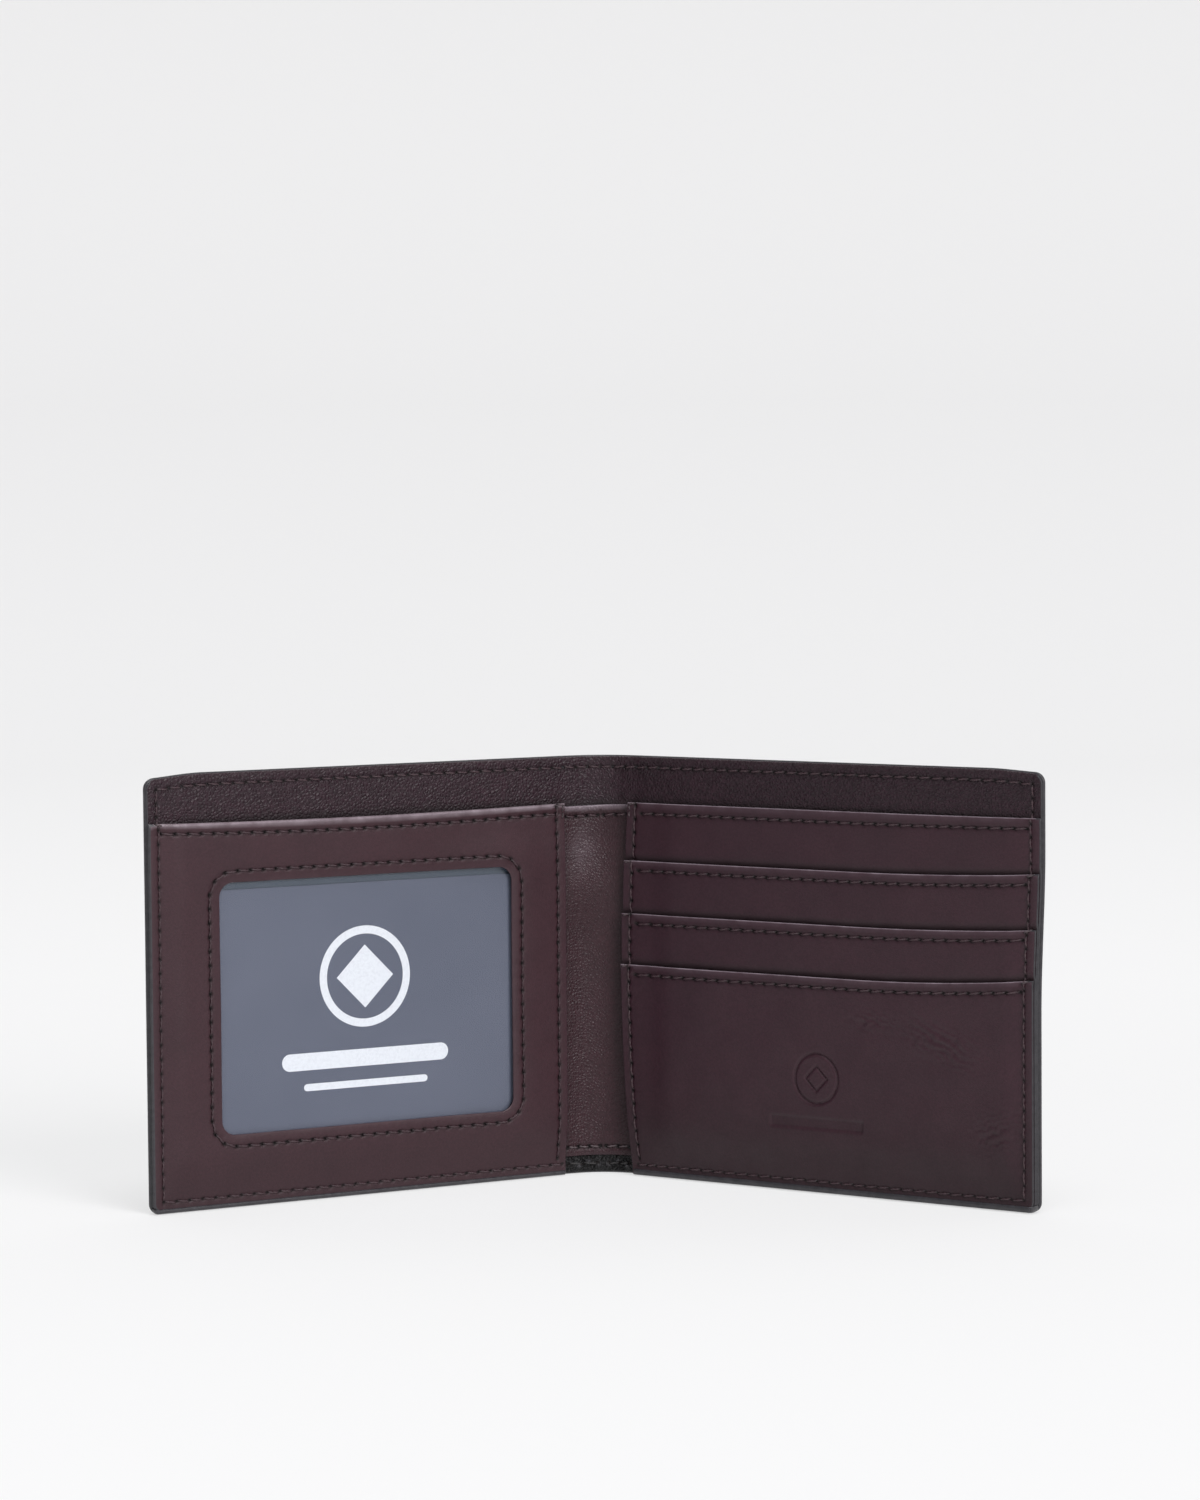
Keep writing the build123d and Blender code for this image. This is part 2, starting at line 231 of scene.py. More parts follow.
def foot_bumps(a, z):
    """Lumps in the turned-in leather at the foot of the spine."""
    total = 0.0
    for ba, bz, size in FOOT_BUMPS:
        total = total + 0.8 * size * patch_of(a, z, ba, bz, size, 0.8 * size)
    foot = np.exp(-((z / 3.6) ** 4)) * np.exp(-(((a + 4.0) / 6.0) ** 4))
    return total + FOOT_ROUGH * waves(a, z, 12, 1.0, 2.6) * foot


def painted_foot_highlights(a, z):
    """Painted highlight: the tops of those lumps are coloured paler."""
    total = 0.0
    for ba, bz, size in FOOT_BUMPS:
        total = total + patch_of(a, z, ba, bz, 0.7 * size, 0.5 * size)
    return np.minimum(total, 1.0)


CREASE_SIZE = 0.10
CREASE_SPACING = 5.2


def spine_creases(a, z):
    """Soft upright creases where the lining bends, fading out along each half."""
    u = a - CENTRE_A
    reach = ramp(u, 0.0, 3.0) * (1 - ramp(u, 9.0, 9.0))
    uneven = 1 + 0.3 * np.sin(z / 5.0)
    return CREASE_SIZE * reach * np.sin(2 * math.pi * u / CREASE_SPACING) * uneven


DIP_DEPTH = 0.34
DIP_REACH = 0.85


def behind_mouth(z, mouth):
    """A sheet dips where it goes down behind a pocket's mouth."""
    return -DIP_DEPTH * hill(np.maximum(z - mouth, 0.0), DIP_REACH)


MOUTH_SHADE = 0.62
MOUTH_SHADE_REACH = 0.95


def mouth_shade(mouth):
    """The shade that gathers on a sheet just above the mouth it goes down behind."""
    def shade(a, z):
        near = z > mouth - 1.5
        return MOUTH_SHADE * hill(np.maximum(z - mouth, 0), MOUTH_SHADE_REACH) * near
    return shade


ROLL_DEPTH = 0.16  # the ID frame is pressed down around its window
ROLL_REACH = 0.8
LIP_SIZE = 0.50  # and stands up on the window's spine side


def frame_face(a, z):
    lift = waves(a, z, 21, 0.10, 45.0) * press(a, z)
    gap_a = np.maximum(np.maximum(WINDOW[0] - a, a - WINDOW[1]), 0.0)
    gap_z = np.maximum(np.maximum(WINDOW[2] - z, z - WINDOW[3]), 0.0)
    roll = -ROLL_DEPTH * hill(np.hypot(gap_a, gap_z), ROLL_REACH)
    along = ramp(z, 4.0, 12.0) * ramp(PANEL_TOP - z, 3.0, 9.0)
    across = (0.6 + 0.4 * ramp(a, 1.0, 12.5)) * (1 - ramp(a, WINDOW[0] + 1.0, 16.0))
    lip = LIP_SIZE * across * along
    return layer("frame", 1, a, z) + lift + roll + lip + hem(z, PANEL_TOP, 0.11)


def slot_face(name, seed, mouth, next_mouth, hem_size):
    """The face of a sheet of the card half that goes down behind the next pocket's mouth."""
    def face(a, z):
        uneven = waves(a, z, seed, 0.08, 40.0) * press(a, z)
        dip = behind_mouth(z, next_mouth)
        return layer(name, 1, a, z) + uneven + dip + hem(z, mouth, hem_size)
    return face


EMBLEM_A, EMBLEM_Z = 46.9, 24.2
EMBLEM_R = 5.2
EMBLEM_DIAMOND = 2.6
EMBLEM_BAR = (11.0, 0.9, -9.4)  # half length, half height, and place below the ring's centre


def emblem_press(a, z):
    """Depth of a blind-pressed ring, the diamond inside it and the bar below it."""
    da, dz = a - EMBLEM_A, z - EMBLEM_Z
    ring = hill(np.hypot(da, dz) - EMBLEM_R, 0.30)
    diamond = hill(np.abs(da) + np.abs(dz) - EMBLEM_DIAMOND, 0.34)
    half, thick, below = EMBLEM_BAR
    beside = np.maximum(np.abs(da) - half, 0)
    above = np.maximum(np.abs(dz - below) - thick, 0)
    bar = hill(np.hypot(beside, above), 0.35)
    return np.maximum(np.maximum(ring, diamond), 0.8 * bar)


# middle, half sizes, turn and spacing of each patch
WRINKLES = (
    (77.0, 33.0, 8.0, 3.6, -0.35, 3.2),
    (90.0, 15.5, 5.5, 4.0, 0.45, 2.8),
    (60.0, 37.0, 5.0, 2.0, -0.1, 3.0),
)


def wrinkles(a, z):
    """Fine creases where the front pocket has been handled."""
    total = 0.0
    for k, (ca, cz, la, lz, turn, spacing) in enumerate(WRINKLES):
        along = (a - ca) * math.cos(turn) + (z - cz) * math.sin(turn)
        across = -(a - ca) * math.sin(turn) + (z - cz) * math.cos(turn)
        wander = waves(a, z, 70 + k, 1.1, 7.0)
        ridge = np.sin(2 * math.pi * (across + wander + 0.15 * along) / spacing)
        total = total + patch_of(along, across, 0.0, 0.0, la, lz) * (np.abs(ridge) - 0.6)
    return total


EMBLEM_DEPTH = 0.40
WRINKLE_SIZE = 0.30


def front_face(a, z):
    body = layer("front", 1, a, z) + waves(a, z, 34, 0.16, 50.0) * press(a, z)
    pressed = body + hem(z, FRONT_MOUTH, 0.05) - EMBLEM_DEPTH * emblem_press(a, z)
    return pressed + WRINKLE_SIZE * wrinkles(a, z)


FACES = {
    "lining": lining_face,
    "frame": frame_face,
    "panel": slot_face("panel", 31, PANEL_TOP, UPPER_MOUTH, 0.08),
    "upper": slot_face("upper", 32, UPPER_MOUTH, MIDDLE_MOUTH, 0.05),
    "middle": slot_face("middle", 33, MIDDLE_MOUTH, FRONT_MOUTH, 0.05),
    "front": front_face,
}
OUTER_FROM = 55.0  # the card half's outer part bends away from here on
OUTER_REACH = 40.0
TOP_LEAN = 1.0
CARD_BOW = (8.0, -9.53, 1.53)  # for the share of the height squared, the share, and 1


def top_lean(a, z):
    """The right half is a little longer towards its top outer corner."""
    return TOP_LEAN * ramp(z, 40.0, 34.0) * ramp(a, OUTER_FROM, OUTER_REACH)


def card_bow(a, z):
    """The card panel's spine-side edge bows: how far a point of the card half moves along a."""
    s = np.clip(z / PANEL_TOP, 0.0, 1.0)
    bow = CARD_BOW[0] * s**2 + CARD_BOW[1] * s + CARD_BOW[2]
    return bow * (1 - ramp(a, CARD_EDGE + 1.0, 7.0)) + top_lean(a, z)


# ---- stitches ----

class Row:
    """A row of needle holes: their places, the row's direction at each, and how bold they are."""

    def __init__(self, points, closed=False, bold=1.0):
        self.points = np.array(points, float)
        self.closed = closed
        self.bold = bold
        ahead = np.roll(self.points, -1, axis=0)
        behind = np.roll(self.points, 1, axis=0)
        if not closed:
            ahead[-1] = self.points[-1]
            behind[0] = self.points[0]
        along = ahead - behind
        self.turns = np.arctan2(along[:, 1], along[:, 0])


def straight_row(a0, z0, a1, z1, bold=1.0):
    count = max(2, round(math.hypot(a1 - a0, z1 - z0) / STITCH_PITCH) + 1)
    t = np.linspace(0, 1, count)
    return Row(np.stack([a0 + (a1 - a0) * t, z0 + (z1 - z0) * t], axis=1), bold=bold)


def sagging_row(a0, a1, z, drop):
    """A level row whose middle hangs lower."""
    row = straight_row(a0, z, a1, z)
    t = (row.points[:, 0] - a0) / (a1 - a0)
    return Row(row.points - np.stack([0 * t, drop * np.sin(math.pi * t)], axis=1))


def corners_of(a0, a1, z0, z1):
    """The corners, anticlockwise from the low outer one, and the way inward from each."""
    return (a1, z0, -1, 1), (a1, z1, -1, -1), (a0, z1, 1, -1), (a0, z0, 1, 1)


def rounded_loop(bounds, radii, step, arc_steps=8, cut=False, inset=0.0):
    """Points round a rectangle with rounded corners, anticlockwise from its low outer corner."""
    a0, a1, z0, z1 = bounds
    a0 = a0 if cut else a0 + inset
    corners = corners_of(a0, a1 - inset, z0 + inset, z1 - inset)
    arcs = []
    for (ca, cz, sa, sz), radius, start in zip(corners, radii, (-90, 0, 90, 180)):
        r = max(radius - inset, 0.0) if radius > 0 else 0.0
        turn = np.radians(start + 90 * np.linspace(0, 1, arc_steps + 1 if radius > 0 else 1))
        a, z = ca + sa * r + r * np.cos(turn), cz + sz * r + r * np.sin(turn)
        arcs.append(np.stack([a, z], axis=1))
    full = [z1 - z0, a1 - bounds[0]] * 2
    points = []
    for k, arc in enumerate(arcs):
        points.extend(arc)
        following = arcs[(k + 1) % 4][0]
        count = max(1, round(full[k] / step))
        if cut and inset > 0 and k == 2:
            count = 1
        for i in range(1, count):
            points.append(arc[-1] + (following - arc[-1]) * i / count)
    return np.array(points)


def grown(bounds, margin):
    """A rectangle made larger by a margin on every side."""
    a0, a1, z0, z1 = bounds
    return a0 - margin, a1 + margin, z0 - margin, z1 + margin


def window_row():
    bounds = grown(WINDOW, WINDOW_SEAM)
    loop = rounded_loop(bounds, (WINDOW_R + WINDOW_SEAM,) * 4, 0.2, arc_steps=24)
    closed = np.vstack([loop, loop[:1]])
    run = np.concatenate([[0], np.cumsum(np.hypot(*np.diff(closed, axis=0).T))])
    count = round(run[-1] / STITCH_PITCH)
    where = np.arange(count) * run[-1] / count
    return Row(np.stack([np.interp(where, run, line) for line in closed.T], axis=1), True)


SIDE_A = HALF_LENGTH - EDGE_SEAM
TOP_Z = HEIGHT - EDGE_SEAM
ID_SIDE_A = ID_EDGE + SIDE_SEAM
CARD_SIDE_A = CARD_EDGE + SIDE_SEAM


def edge_rows(foot_from, bold, top_bold):
    """The rows along a half's outer edge, foot and top."""
    return [
        straight_row(SIDE_A, BOTTOM_SEAM, SIDE_A, TOP_Z, bold),
        straight_row(foot_from, BOTTOM_SEAM, SIDE_A, BOTTOM_SEAM, bold),
        straight_row(CENTRE_A, TOP_Z, SIDE_A, TOP_Z, top_bold),
    ]


def foot_row(end):
    level_z = BOTTOM_SEAM - 0.3
    return [straight_row(CENTRE_A + 1.4, level_z, end, level_z, 1.2)]


def side_row(side_a):
    return [straight_row(side_a, BOTTOM_SEAM + 1.4, side_a, PANEL_TOP - 0.6)]


def card_hem(mouth, drop=HEM_SEAM):
    return [straight_row(CARD_SIDE_A + 1.6, mouth - drop, SIDE_A - 0.8, mouth - drop, 0.8)]


LEFT_SEAMS = {
    "thread_edge_left": edge_rows(ID_EDGE + 1.0, 0.6, 0.7),
    "foot": foot_row(ID_EDGE - 1.0),
    "thread_id_window": [window_row()],
    "thread_id_hem": [sagging_row(ID_SIDE_A, SIDE_A - 0.4, PANEL_TOP - HEM_SEAM, 0.35)],
    "thread_id_side": side_row(ID_SIDE_A),
}
RIGHT_SEAMS = {
    "thread_edge_right": edge_rows(CARD_EDGE + 1.6, 0.5, 0.7),
    "foot": foot_row(CARD_EDGE - 0.6),
    "thread_panel_hem": card_hem(PANEL_TOP, 2.35),
    "thread_upper_hem": card_hem(UPPER_MOUTH),
    "thread_middle_hem": card_hem(MIDDLE_MOUTH),
    "thread_front_hem": card_hem(FRONT_MOUTH),
    "thread_card_side": side_row(CARD_SIDE_A),
}
STRIP_EDGE = {"left": ID_EDGE, "right": CARD_EDGE}
ID_SAG = 0.55


def id_mouth_sag(a, z):
    """The ID pocket's mouth hangs a little between its ends."""
    t = np.clip((a - ID_EDGE) / (HALF_LENGTH - ID_EDGE), 0.0, 1.0)
    return -ID_SAG * np.sin(math.pi * t) * ramp(z, 68.0, 9.0)


RISE_AT = (0.0, FRONT_MOUTH, MIDDLE_MOUTH, UPPER_MOUTH, PANEL_TOP, PANEL_TOP + 2.0)
RISE_MOST = (0.0, 1.8, 1.2, 1.2, 0.2, 0.0)


def card_rise(a, z):
    """The card pockets' mouths curve up towards the outer edge."""
    most = np.interp(z, RISE_AT, RISE_MOST)
    return most * np.clip((a - OUTER_FROM) / OUTER_REACH, 0.0, 1.1) ** 2


def across_spine(side, a):
    """Distance from the spine's centre, towards the card half."""
    return (-1 if side == "left" else 1) * (a - CENTRE_A)


STRIP_SAG = 0.35


def strip_sag(side):
    """The strip's top edge droops towards the ID half."""
    def sag(a, z):
        droop = -STRIP_SAG * ramp(-across_spine(side, a), -7.0, 16.0)
        return droop * ramp(z, 40.0, 40.0)
    return sag


def strip_rows(side):
    end = STRIP_EDGE[side] - 0.6
    low = straight_row(CENTRE_A + 0.7, STRIP_BOTTOM + 1.9, end, STRIP_BOTTOM + 1.9, 1.5)
    high = straight_row(CENTRE_A + 0.7, STRIP_TOP - 2.2, end, STRIP_TOP - 2.2, 1.0)
    return [low, high]


SEAMS = {"left": LEFT_SEAMS, "right": RIGHT_SEAMS}
MOUTHS = {
    "left": {"frame": PANEL_TOP},
    "right": {
        "front": FRONT_MOUTH,
        "middle": MIDDLE_MOUTH,
        "upper": UPPER_MOUTH,
        "panel": PANEL_TOP,
    },
}


def visible(side, a, z):
    """Which sheet shows at a place of a half: the first whose mouth is above it."""
    if a >= STRIP_EDGE[side]:
        for name, mouth in MOUTHS[side].items():
            if z < mouth:
                return name
    return "lining"


def holes_on(side, sheet):
    """Needle holes of a half that show on one sheet."""
    every = row_holes(row for rows in SEAMS[side].values() for row in rows)
    return [hole for hole in every if visible(side, hole[0], hole[1]) == sheet]


def row_holes(rows):
    """Place, direction and boldness of each needle hole."""
    return [(*point, turn, row.bold) for row in rows for point, turn in zip(row.points, row.turns)]


def near_tree(points):
    """A tree that finds the nearest of some flat points."""
    tree = kdtree.KDTree(len(points))
    for i, point in enumerate(points):
        tree.insert((point[0], point[1], 0), i)
    tree.balance()
    return tree


HOLE_ALONG = (-1.3, -0.9, -0.6, -0.3, 0, 0.3, 0.6, 0.9, 1.3)
HOLE_ACROSS = (-0.9, -0.6, -0.35, -0.15, 0.15, 0.35, 0.6, 0.9)
HOLE_GRID = [(x, y) for x in HOLE_ALONG for y in HOLE_ACROSS]  # finer points about each hole
MARK_REACH = 2.4
CHANNEL_DEPTH = 0.08
CHANNEL_WIDTH = 0.50
CHANNEL_HALF = 1.7  # length of the channel to each side of a hole
PIT_DEPTH = 0.40
PIT_SIZE = (0.46, 0.33)  # along the row and across it
PIT_SHADE = 1.9


def stitch_marks(holes, a, z):
    """Dent and shade that the stitches leave: a channel along the row and a pit at each hole."""
    dent, shade = np.zeros(len(a)), np.zeros(len(a))
    if not holes:
        return dent, shade
    tree = near_tree(holes)
    for i in range(len(a)):
        _, nearest, gap = tree.find((a[i], z[i], 0))
        if gap > MARK_REACH:
            continue
        ha, hz, turn, bold = holes[nearest]
        da, dz = a[i] - ha, z[i] - hz
        along = da * math.cos(turn) + dz * math.sin(turn)
        across = -da * math.sin(turn) + dz * math.cos(turn)
        channel = math.exp(-((across / CHANNEL_WIDTH) ** 2)) if abs(along) < CHANNEL_HALF else 0.0
        pit = math.exp(-((along / PIT_SIZE[0]) ** 2) - (across / PIT_SIZE[1]) ** 2)
        dent[i] = -CHANNEL_DEPTH * channel - PIT_DEPTH * min(bold, 1.2) * pit
        shade[i] = min(1.0, CHANNEL_DEPTH * channel + PIT_SHADE * bold * pit)
    return dent, shade


# ---- sheets ----

ROW_STEP = 0.87  # between rows of a triangular grid, against its spacing
JITTER = 0.08


def hex_points(bounds, spacing, seed):
    rng = np.random.default_rng(seed)
    a0, a1, z0, z1 = bounds
    points = []
    for j in range(int((z1 - z0) / (spacing * ROW_STEP)) + 1):
        offset = spacing / 2 if j % 2 else 0.0
        for i in range(int((a1 - a0) / spacing) + 1):
            points.append((a0 + offset + i * spacing, z0 + j * spacing * ROW_STEP))
    points = np.array(points)
    return points + rng.uniform(-JITTER, JITTER, points.shape) * spacing


FAR = 1e3
NEARLY = 1e-6


def edge_gap(points, bounds, radii, cut):
    """Distance from each point in to a rounded rectangle's outline, negative outside."""
    a0, a1, z0, z1 = bounds
    a, z = points[:, 0], points[:, 1]
    inner = np.full(len(a), FAR) if cut else a - a0
    gap = np.minimum(np.minimum(inner, a1 - a), np.minimum(z - z0, z1 - z))
    for (ca, cz, sa, sz), r in zip(corners_of(*bounds), radii):
        if r <= 0:
            continue
        da, dz = (a - (ca + sa * r)) * -sa, (z - (cz + sz * r)) * -sz
        inside = (da > 0) & (dz > 0)
        gap = np.where(inside, r - np.hypot(da, dz), gap)
    return gap


def window_gap(points, window):
    """The same for a window, given as its bounds and the radius of its corners."""
    return edge_gap(points, window[0], (window[1],) * 4, False)


RIM_TURNS = np.radians([0.0, 24.0, 48.0, 70.0, 90.0])
SAME_POINT = 1e-4
DETAIL_CELL = 0.14  # at most one detail point in each cell of this size
BODY_GAP = 0.55  # coarse points keep this far from detail points


def sheet_points(bounds, radii, rim, cut, window, window_rim, holes, patches, spacing, seed):
    """Points and fixed edges of a sheet's outline, its window and the places that need detail."""
    points, edges = [], []

    def add_loop(loop, closed=True):
        first = len(points)
        keep = [loop[0]]
        for p in loop[1:]:
            if np.hypot(*(p - keep[-1])) > SAME_POINT:
                keep.append(p)
        if closed and np.hypot(*(keep[0] - keep[-1])) < SAME_POINT:
            keep.pop()
        points.extend(keep)
        count = len(keep)
        for i in range(count if closed else count - 1):
            edges.append((first + i, first + (i + 1) % count))

    for turn in RIM_TURNS:
        loop = rounded_loop(bounds, radii, 1.0, cut=cut, inset=rim * (1 - math.cos(turn)))
        if cut and turn > 0:
            from_corner = np.hypot(loop[:, 0] - bounds[0], loop[:, 1] - loop[:, 1].min())
            add_loop(np.roll(loop, -int(np.argmin(from_corner)), axis=0), closed=False)
        else:
            add_loop(loop)
    if window:
        hole_bounds, hole_r = window
        for turn in RIM_TURNS:
            inset = -window_rim * (1 - math.cos(turn))
            add_loop(rounded_loop(hole_bounds, (hole_r,) * 4, 1.0, inset=inset))

    detail = []
    for ha, hz, turn, _ in holes:
        c, s = math.cos(turn), math.sin(turn)
        detail.extend((ha + x * c - y * s, hz + x * s + y * c) for x, y in HOLE_GRID)
    for patch_bounds, patch_spacing in patches:
        detail.extend(hex_points(patch_bounds, patch_spacing, seed + 1))
    detail = np.array(detail).reshape(-1, 2)
    body = hex_points(bounds, spacing, seed)

    def clear_of_edges(pts, margin):
        keep = edge_gap(pts, bounds, radii, cut) > rim + margin
        if cut:
            keep &= pts[:, 0] > bounds[0] + 0.3
        if window:
            keep &= window_gap(pts, window) < -(window_rim + margin)
        return pts[keep]

    detail = thin(clear_of_edges(detail, 0.05), DETAIL_CELL)
    body = clear_of_edges(body, 0.35)
    if len(detail):
        tree = near_tree(detail)
        body = [p for p in body if tree.find((p[0], p[1], 0))[2] > BODY_GAP]
        body = np.array(body).reshape(-1, 2)
    return np.vstack([points, detail, body]), edges


def thin(pts, spacing):
    """Drops points that fall in the same small cell, so that no two nearly meet."""
    if not len(pts):
        return pts
    cell = np.round(pts / spacing).astype(int)
    _, keep = np.unique(cell, axis=0, return_index=True)
    return pts[np.sort(keep)]


def triangulate(points, edges, bounds, radii, window):
    flat_points = [Vector(p) for p in points]
    verts, _, faces, *_ = geometry.delaunay_2d_cdt(flat_points, edges, [], 0, 1e-5)
    flat = np.array([(v.x, v.y) for v in verts])
    tris = np.array([f for f in faces if len(f) == 3])
    middle = flat[tris].mean(axis=1)
    keep = edge_gap(middle, bounds, radii, False) > -NEARLY
    if window:
        keep &= window_gap(middle, window) < NEARLY
    tris = tris[keep]
    p, q, r = (flat[tris[:, k]] for k in range(3))
    area = (q[:, 0] - p[:, 0]) * (r[:, 1] - p[:, 1]) - (q[:, 1] - p[:, 1]) * (r[:, 0] - p[:, 0])
    real = np.abs(area) > 1e-9
    tris, area = tris[real], area[real]
    tris[area < 0] = tris[area < 0][:, ::-1]
    return flat, tris


def add_to_scene(name, data):
    made = bpy.data.objects.new(name, data)
    bpy.context.scene.collection.objects.link(made)
    return made


def make_object(name, verts, faces, materials, slots=None):
    mesh = bpy.data.meshes.new(name)
    mesh.from_pydata([tuple(v) for v in verts], [], [tuple(int(i) for i in f) for f in faces])
    for material in materials:
        mesh.materials.append(material)
    if slots is not None:
        mesh.polygons.foreach_set("material_index", np.asarray(slots, np.int32))
    mesh.polygons.foreach_set("use_smooth", np.ones(len(mesh.polygons), bool))
    mesh.update()
    return add_to_scene(name, mesh)


def set_attribute(piece, name, values, kind="FLOAT"):
    attribute = piece.data.attributes.new(name, kind, "POINT")
    key = "value" if kind == "FLOAT" else "vector"
    attribute.data.foreach_set(key, np.asarray(values, np.float32).ravel())


SHARP = math.radians(62.0)
WEAR_AND_HIGHLIGHT_REACH = 0.85  # of the rim's width
PAINT_END = 0.93  # the edge paint covers this much of the rim
PAINT_REACH = 1.2  # rims: how near an edge a face counts as part of it


def level(depth):
    """A surface at one depth."""
    return lambda a, z: depth + 0 * a


def edge_wear_and_highlight(bounds, share, z, wear_and_highlight_extent):
    """Rubbing of all edges and of the mouth, which also paints a highlight along them."""
    all_edges, mouth_reach, mouth_drop = wear_and_highlight_extent
    wear_and_highlight = all_edges * hill(np.maximum(share, 0.0), WEAR_AND_HIGHLIGHT_REACH)
    return np.maximum(wear_and_highlight, hill(bounds[3] - mouth_drop - z, mouth_reach))


def cut_walls(side, a, z, cut_a, rear_index):
    """The faces that close a sheet where it is cut at the spine's centre."""
    walls = []
    on_cut = np.where(np.abs(a - cut_a) < 1e-5)[0]
    on_cut = on_cut[np.argsort(z[on_cut])]
    for i, j in zip(on_cut[:-1], on_cut[1:]):
        wall = [int(i), int(j), int(rear_index[j]), int(rear_index[i])]
        wall = [v for k, v in enumerate(wall) if v not in wall[:k]]
        walls.append(tuple(wall if side == "left" else wall[::-1]))
    return walls


def painted_faces(centre, share, bounds, corner_r, rim, painted):
    """Which faces lie on a painted edge; painted lists "out", "low" and "top"."""
    a, z = centre[:, 0], centre[:, 1]
    out = (bounds[1] - a) < rim * PAINT_REACH + corner_r * 0.3
    low = (z - bounds[2]) < rim * PAINT_REACH
    top = (bounds[3] - z) < rim * PAINT_REACH
    corner = (bounds[1] - a < corner_r) & (z - bounds[2] < corner_r)
    chosen = ("out" in painted) & out | ("low" in painted) & (low | corner)
    chosen = chosen | ("top" in painted) & top
    return (share < PAINT_END) & chosen


def sheet(name, side, bounds, face, back, materials, *, radii=(0, 0, 0, 0), rim=0.3, cut=False,
          window=None, window_rim=0.2, holes=(), back_holes=(), patches=(), spacing=2.0, seed=1,
          warp=None, top_line=None, painted=("out", "low"), wear_and_highlight_extent=(0.0, 0.3, 0.0), patch=None,
          painted_shade=None, dark_where=None):
    """A closed sheet of leather: face and back are its depths, and its edges are rounded over.
    materials are those of the face, the painted edge, the back and, if given, the part in
    dark_where. The wear settings say how much all edges are rubbed and given a painted
    highlight, how far that of the mouth reaches, and how far down it sits. patch says where else
    a painted highlight goes, and the shade function where painted shade darkens the colour.
    warp and top_line move a point along a and z, and patches are places with finer points."""
    every_hole = [*holes, *back_holes]
    points, edges = sheet_points(
        bounds, radii, rim, cut, window, window_rim, every_hole, patches, spacing, seed,
    )
    flat, tris = triangulate(points, edges, bounds, radii, window)
    a, z = flat[:, 0], flat[:, 1]
    share = edge_gap(flat, bounds, radii, cut) / rim
    if window:
        share = np.minimum(share, -window_gap(flat, window) / window_rim)
    wear_and_highlight = edge_wear_and_highlight(bounds, share, z, wear_and_highlight_extent)
    if patch:
        wear_and_highlight = np.maximum(wear_and_highlight, patch(a, z))
    share = np.clip(share, 0.0, 1.0)
    full = np.sqrt(np.maximum(1 - (1 - share) ** 2, 0.0))
    dent, shade = stitch_marks(holes, a, z)
    back_dent, back_shade = stitch_marks(back_holes, a, z)
    # painted shade where shade falls: above mouths, at feet and beside overlapping panels
    if painted_shade:
        shade = np.maximum(shade, painted_shade(a, z))
    w_face, w_back = face(a, z) + dent, back(a, z) - back_dent
    middle, half = (w_face + w_back) / 2, (w_face - w_back) / 2
    shift = warp(a, z) if warp else 0.0
    lift = top_line(a, z) if top_line else 0.0
    front = place(side, a + shift, z + lift, middle + half * full)
    rear = place(side, a + shift, z + lift, middle - half * full)
    count = len(flat)
    rear_index = np.arange(count) + np.where(full < 1e-3, 0, count)
    faces = [tuple(t) for t in tris] + [tuple(rear_index[t[::-1]]) for t in tris]
    if side == "left":
        faces = [f[::-1] for f in faces]
    walls = cut_walls(side, a, z, bounds[0], rear_index) if cut else []
    centre = flat[tris].mean(axis=1)
    on_paint = painted_faces(centre, share[tris].mean(axis=1), bounds, radii[0], rim, painted)
    front_slots = np.where(on_paint, 1, 0)
    if dark_where:
        front_slots = np.where(dark_where(centre[:, 0], centre[:, 1]), 3, front_slots)
    slots = np.concatenate([front_slots, np.where(on_paint, 1, 2), np.full(len(walls), 1)])
    piece = make_object(name, np.vstack([front, rear]), faces + walls, materials, slots)
    on_leather = (np.tile(a, 2), np.tile(z, 2), np.concatenate([w_face, w_back]))
    set_attribute(piece, "leather_mm", np.stack(on_leather, axis=1), "FLOAT_VECTOR")
    # the hole attribute carries painted shade: in the needle holes, and the shade added above
    set_attribute(piece, "hole", np.concatenate([shade, back_shade]))
    # painted highlight, partly wear: paler colour along edges, mouths and some patches
    set_attribute(piece, "wear_and_highlight", np.tile(wear_and_highlight, 2))
    drop_loose(piece)
    piece.data.set_sharp_from_angle(angle=SHARP)
    return piece


def drop_loose(piece):
    """Removes the unused copies of the rim's points."""
    shell = bmesh.new()
    shell.from_mesh(piece.data)
    bmesh.ops.delete(shell, geom=[v for v in shell.verts if not v.link_faces], context="VERTS")
    shell.to_mesh(piece.data)
    shell.free()


# ---- threads ----

THREAD_R = 0.125
THREAD_STEPS = 9
THREAD_SPAN = (0.03, 0.97)  # of the way from hole to hole
THREAD_SIDES = 6
THREAD_RING = 2 * math.pi * np.arange(THREAD_SIDES) / THREAD_SIDES
END_TAPER = 0.8
STRAND_OFFSET = 0.085  # each strand's distance from the thread's middle line
STRAND_TWISTS = 1.35  # per stitch
SINK = 0.30  # how deep a stitch goes into its holes
LEAN = 0.13
UPRIGHT_LEAN = 0.7  # upright rows lean this much less
# painted shade on each stitch where it goes into its holes
END_SHADE_REACH = 0.52  # a stitch darkens this near its holes
STAMP_STEP = 3.1  # keeps the fibre pattern from repeating along a strand


def strand_faces(first):
    """A closed tube over the rings of points that start at first."""
    faces = []
    for k in range(THREAD_STEPS - 1):
        for m in range(THREAD_SIDES):
            n = (m + 1) % THREAD_SIDES
            base = first + k * THREAD_SIDES
            faces.append((base + m, base + n, base + THREAD_SIDES + n, base + THREAD_SIDES + m))
    last = first + (THREAD_STEPS - 1) * THREAD_SIDES
    faces.append(tuple(first + m for m in reversed(range(THREAD_SIDES))))
    faces.append(tuple(last + m for m in range(THREAD_SIDES)))
    return faces


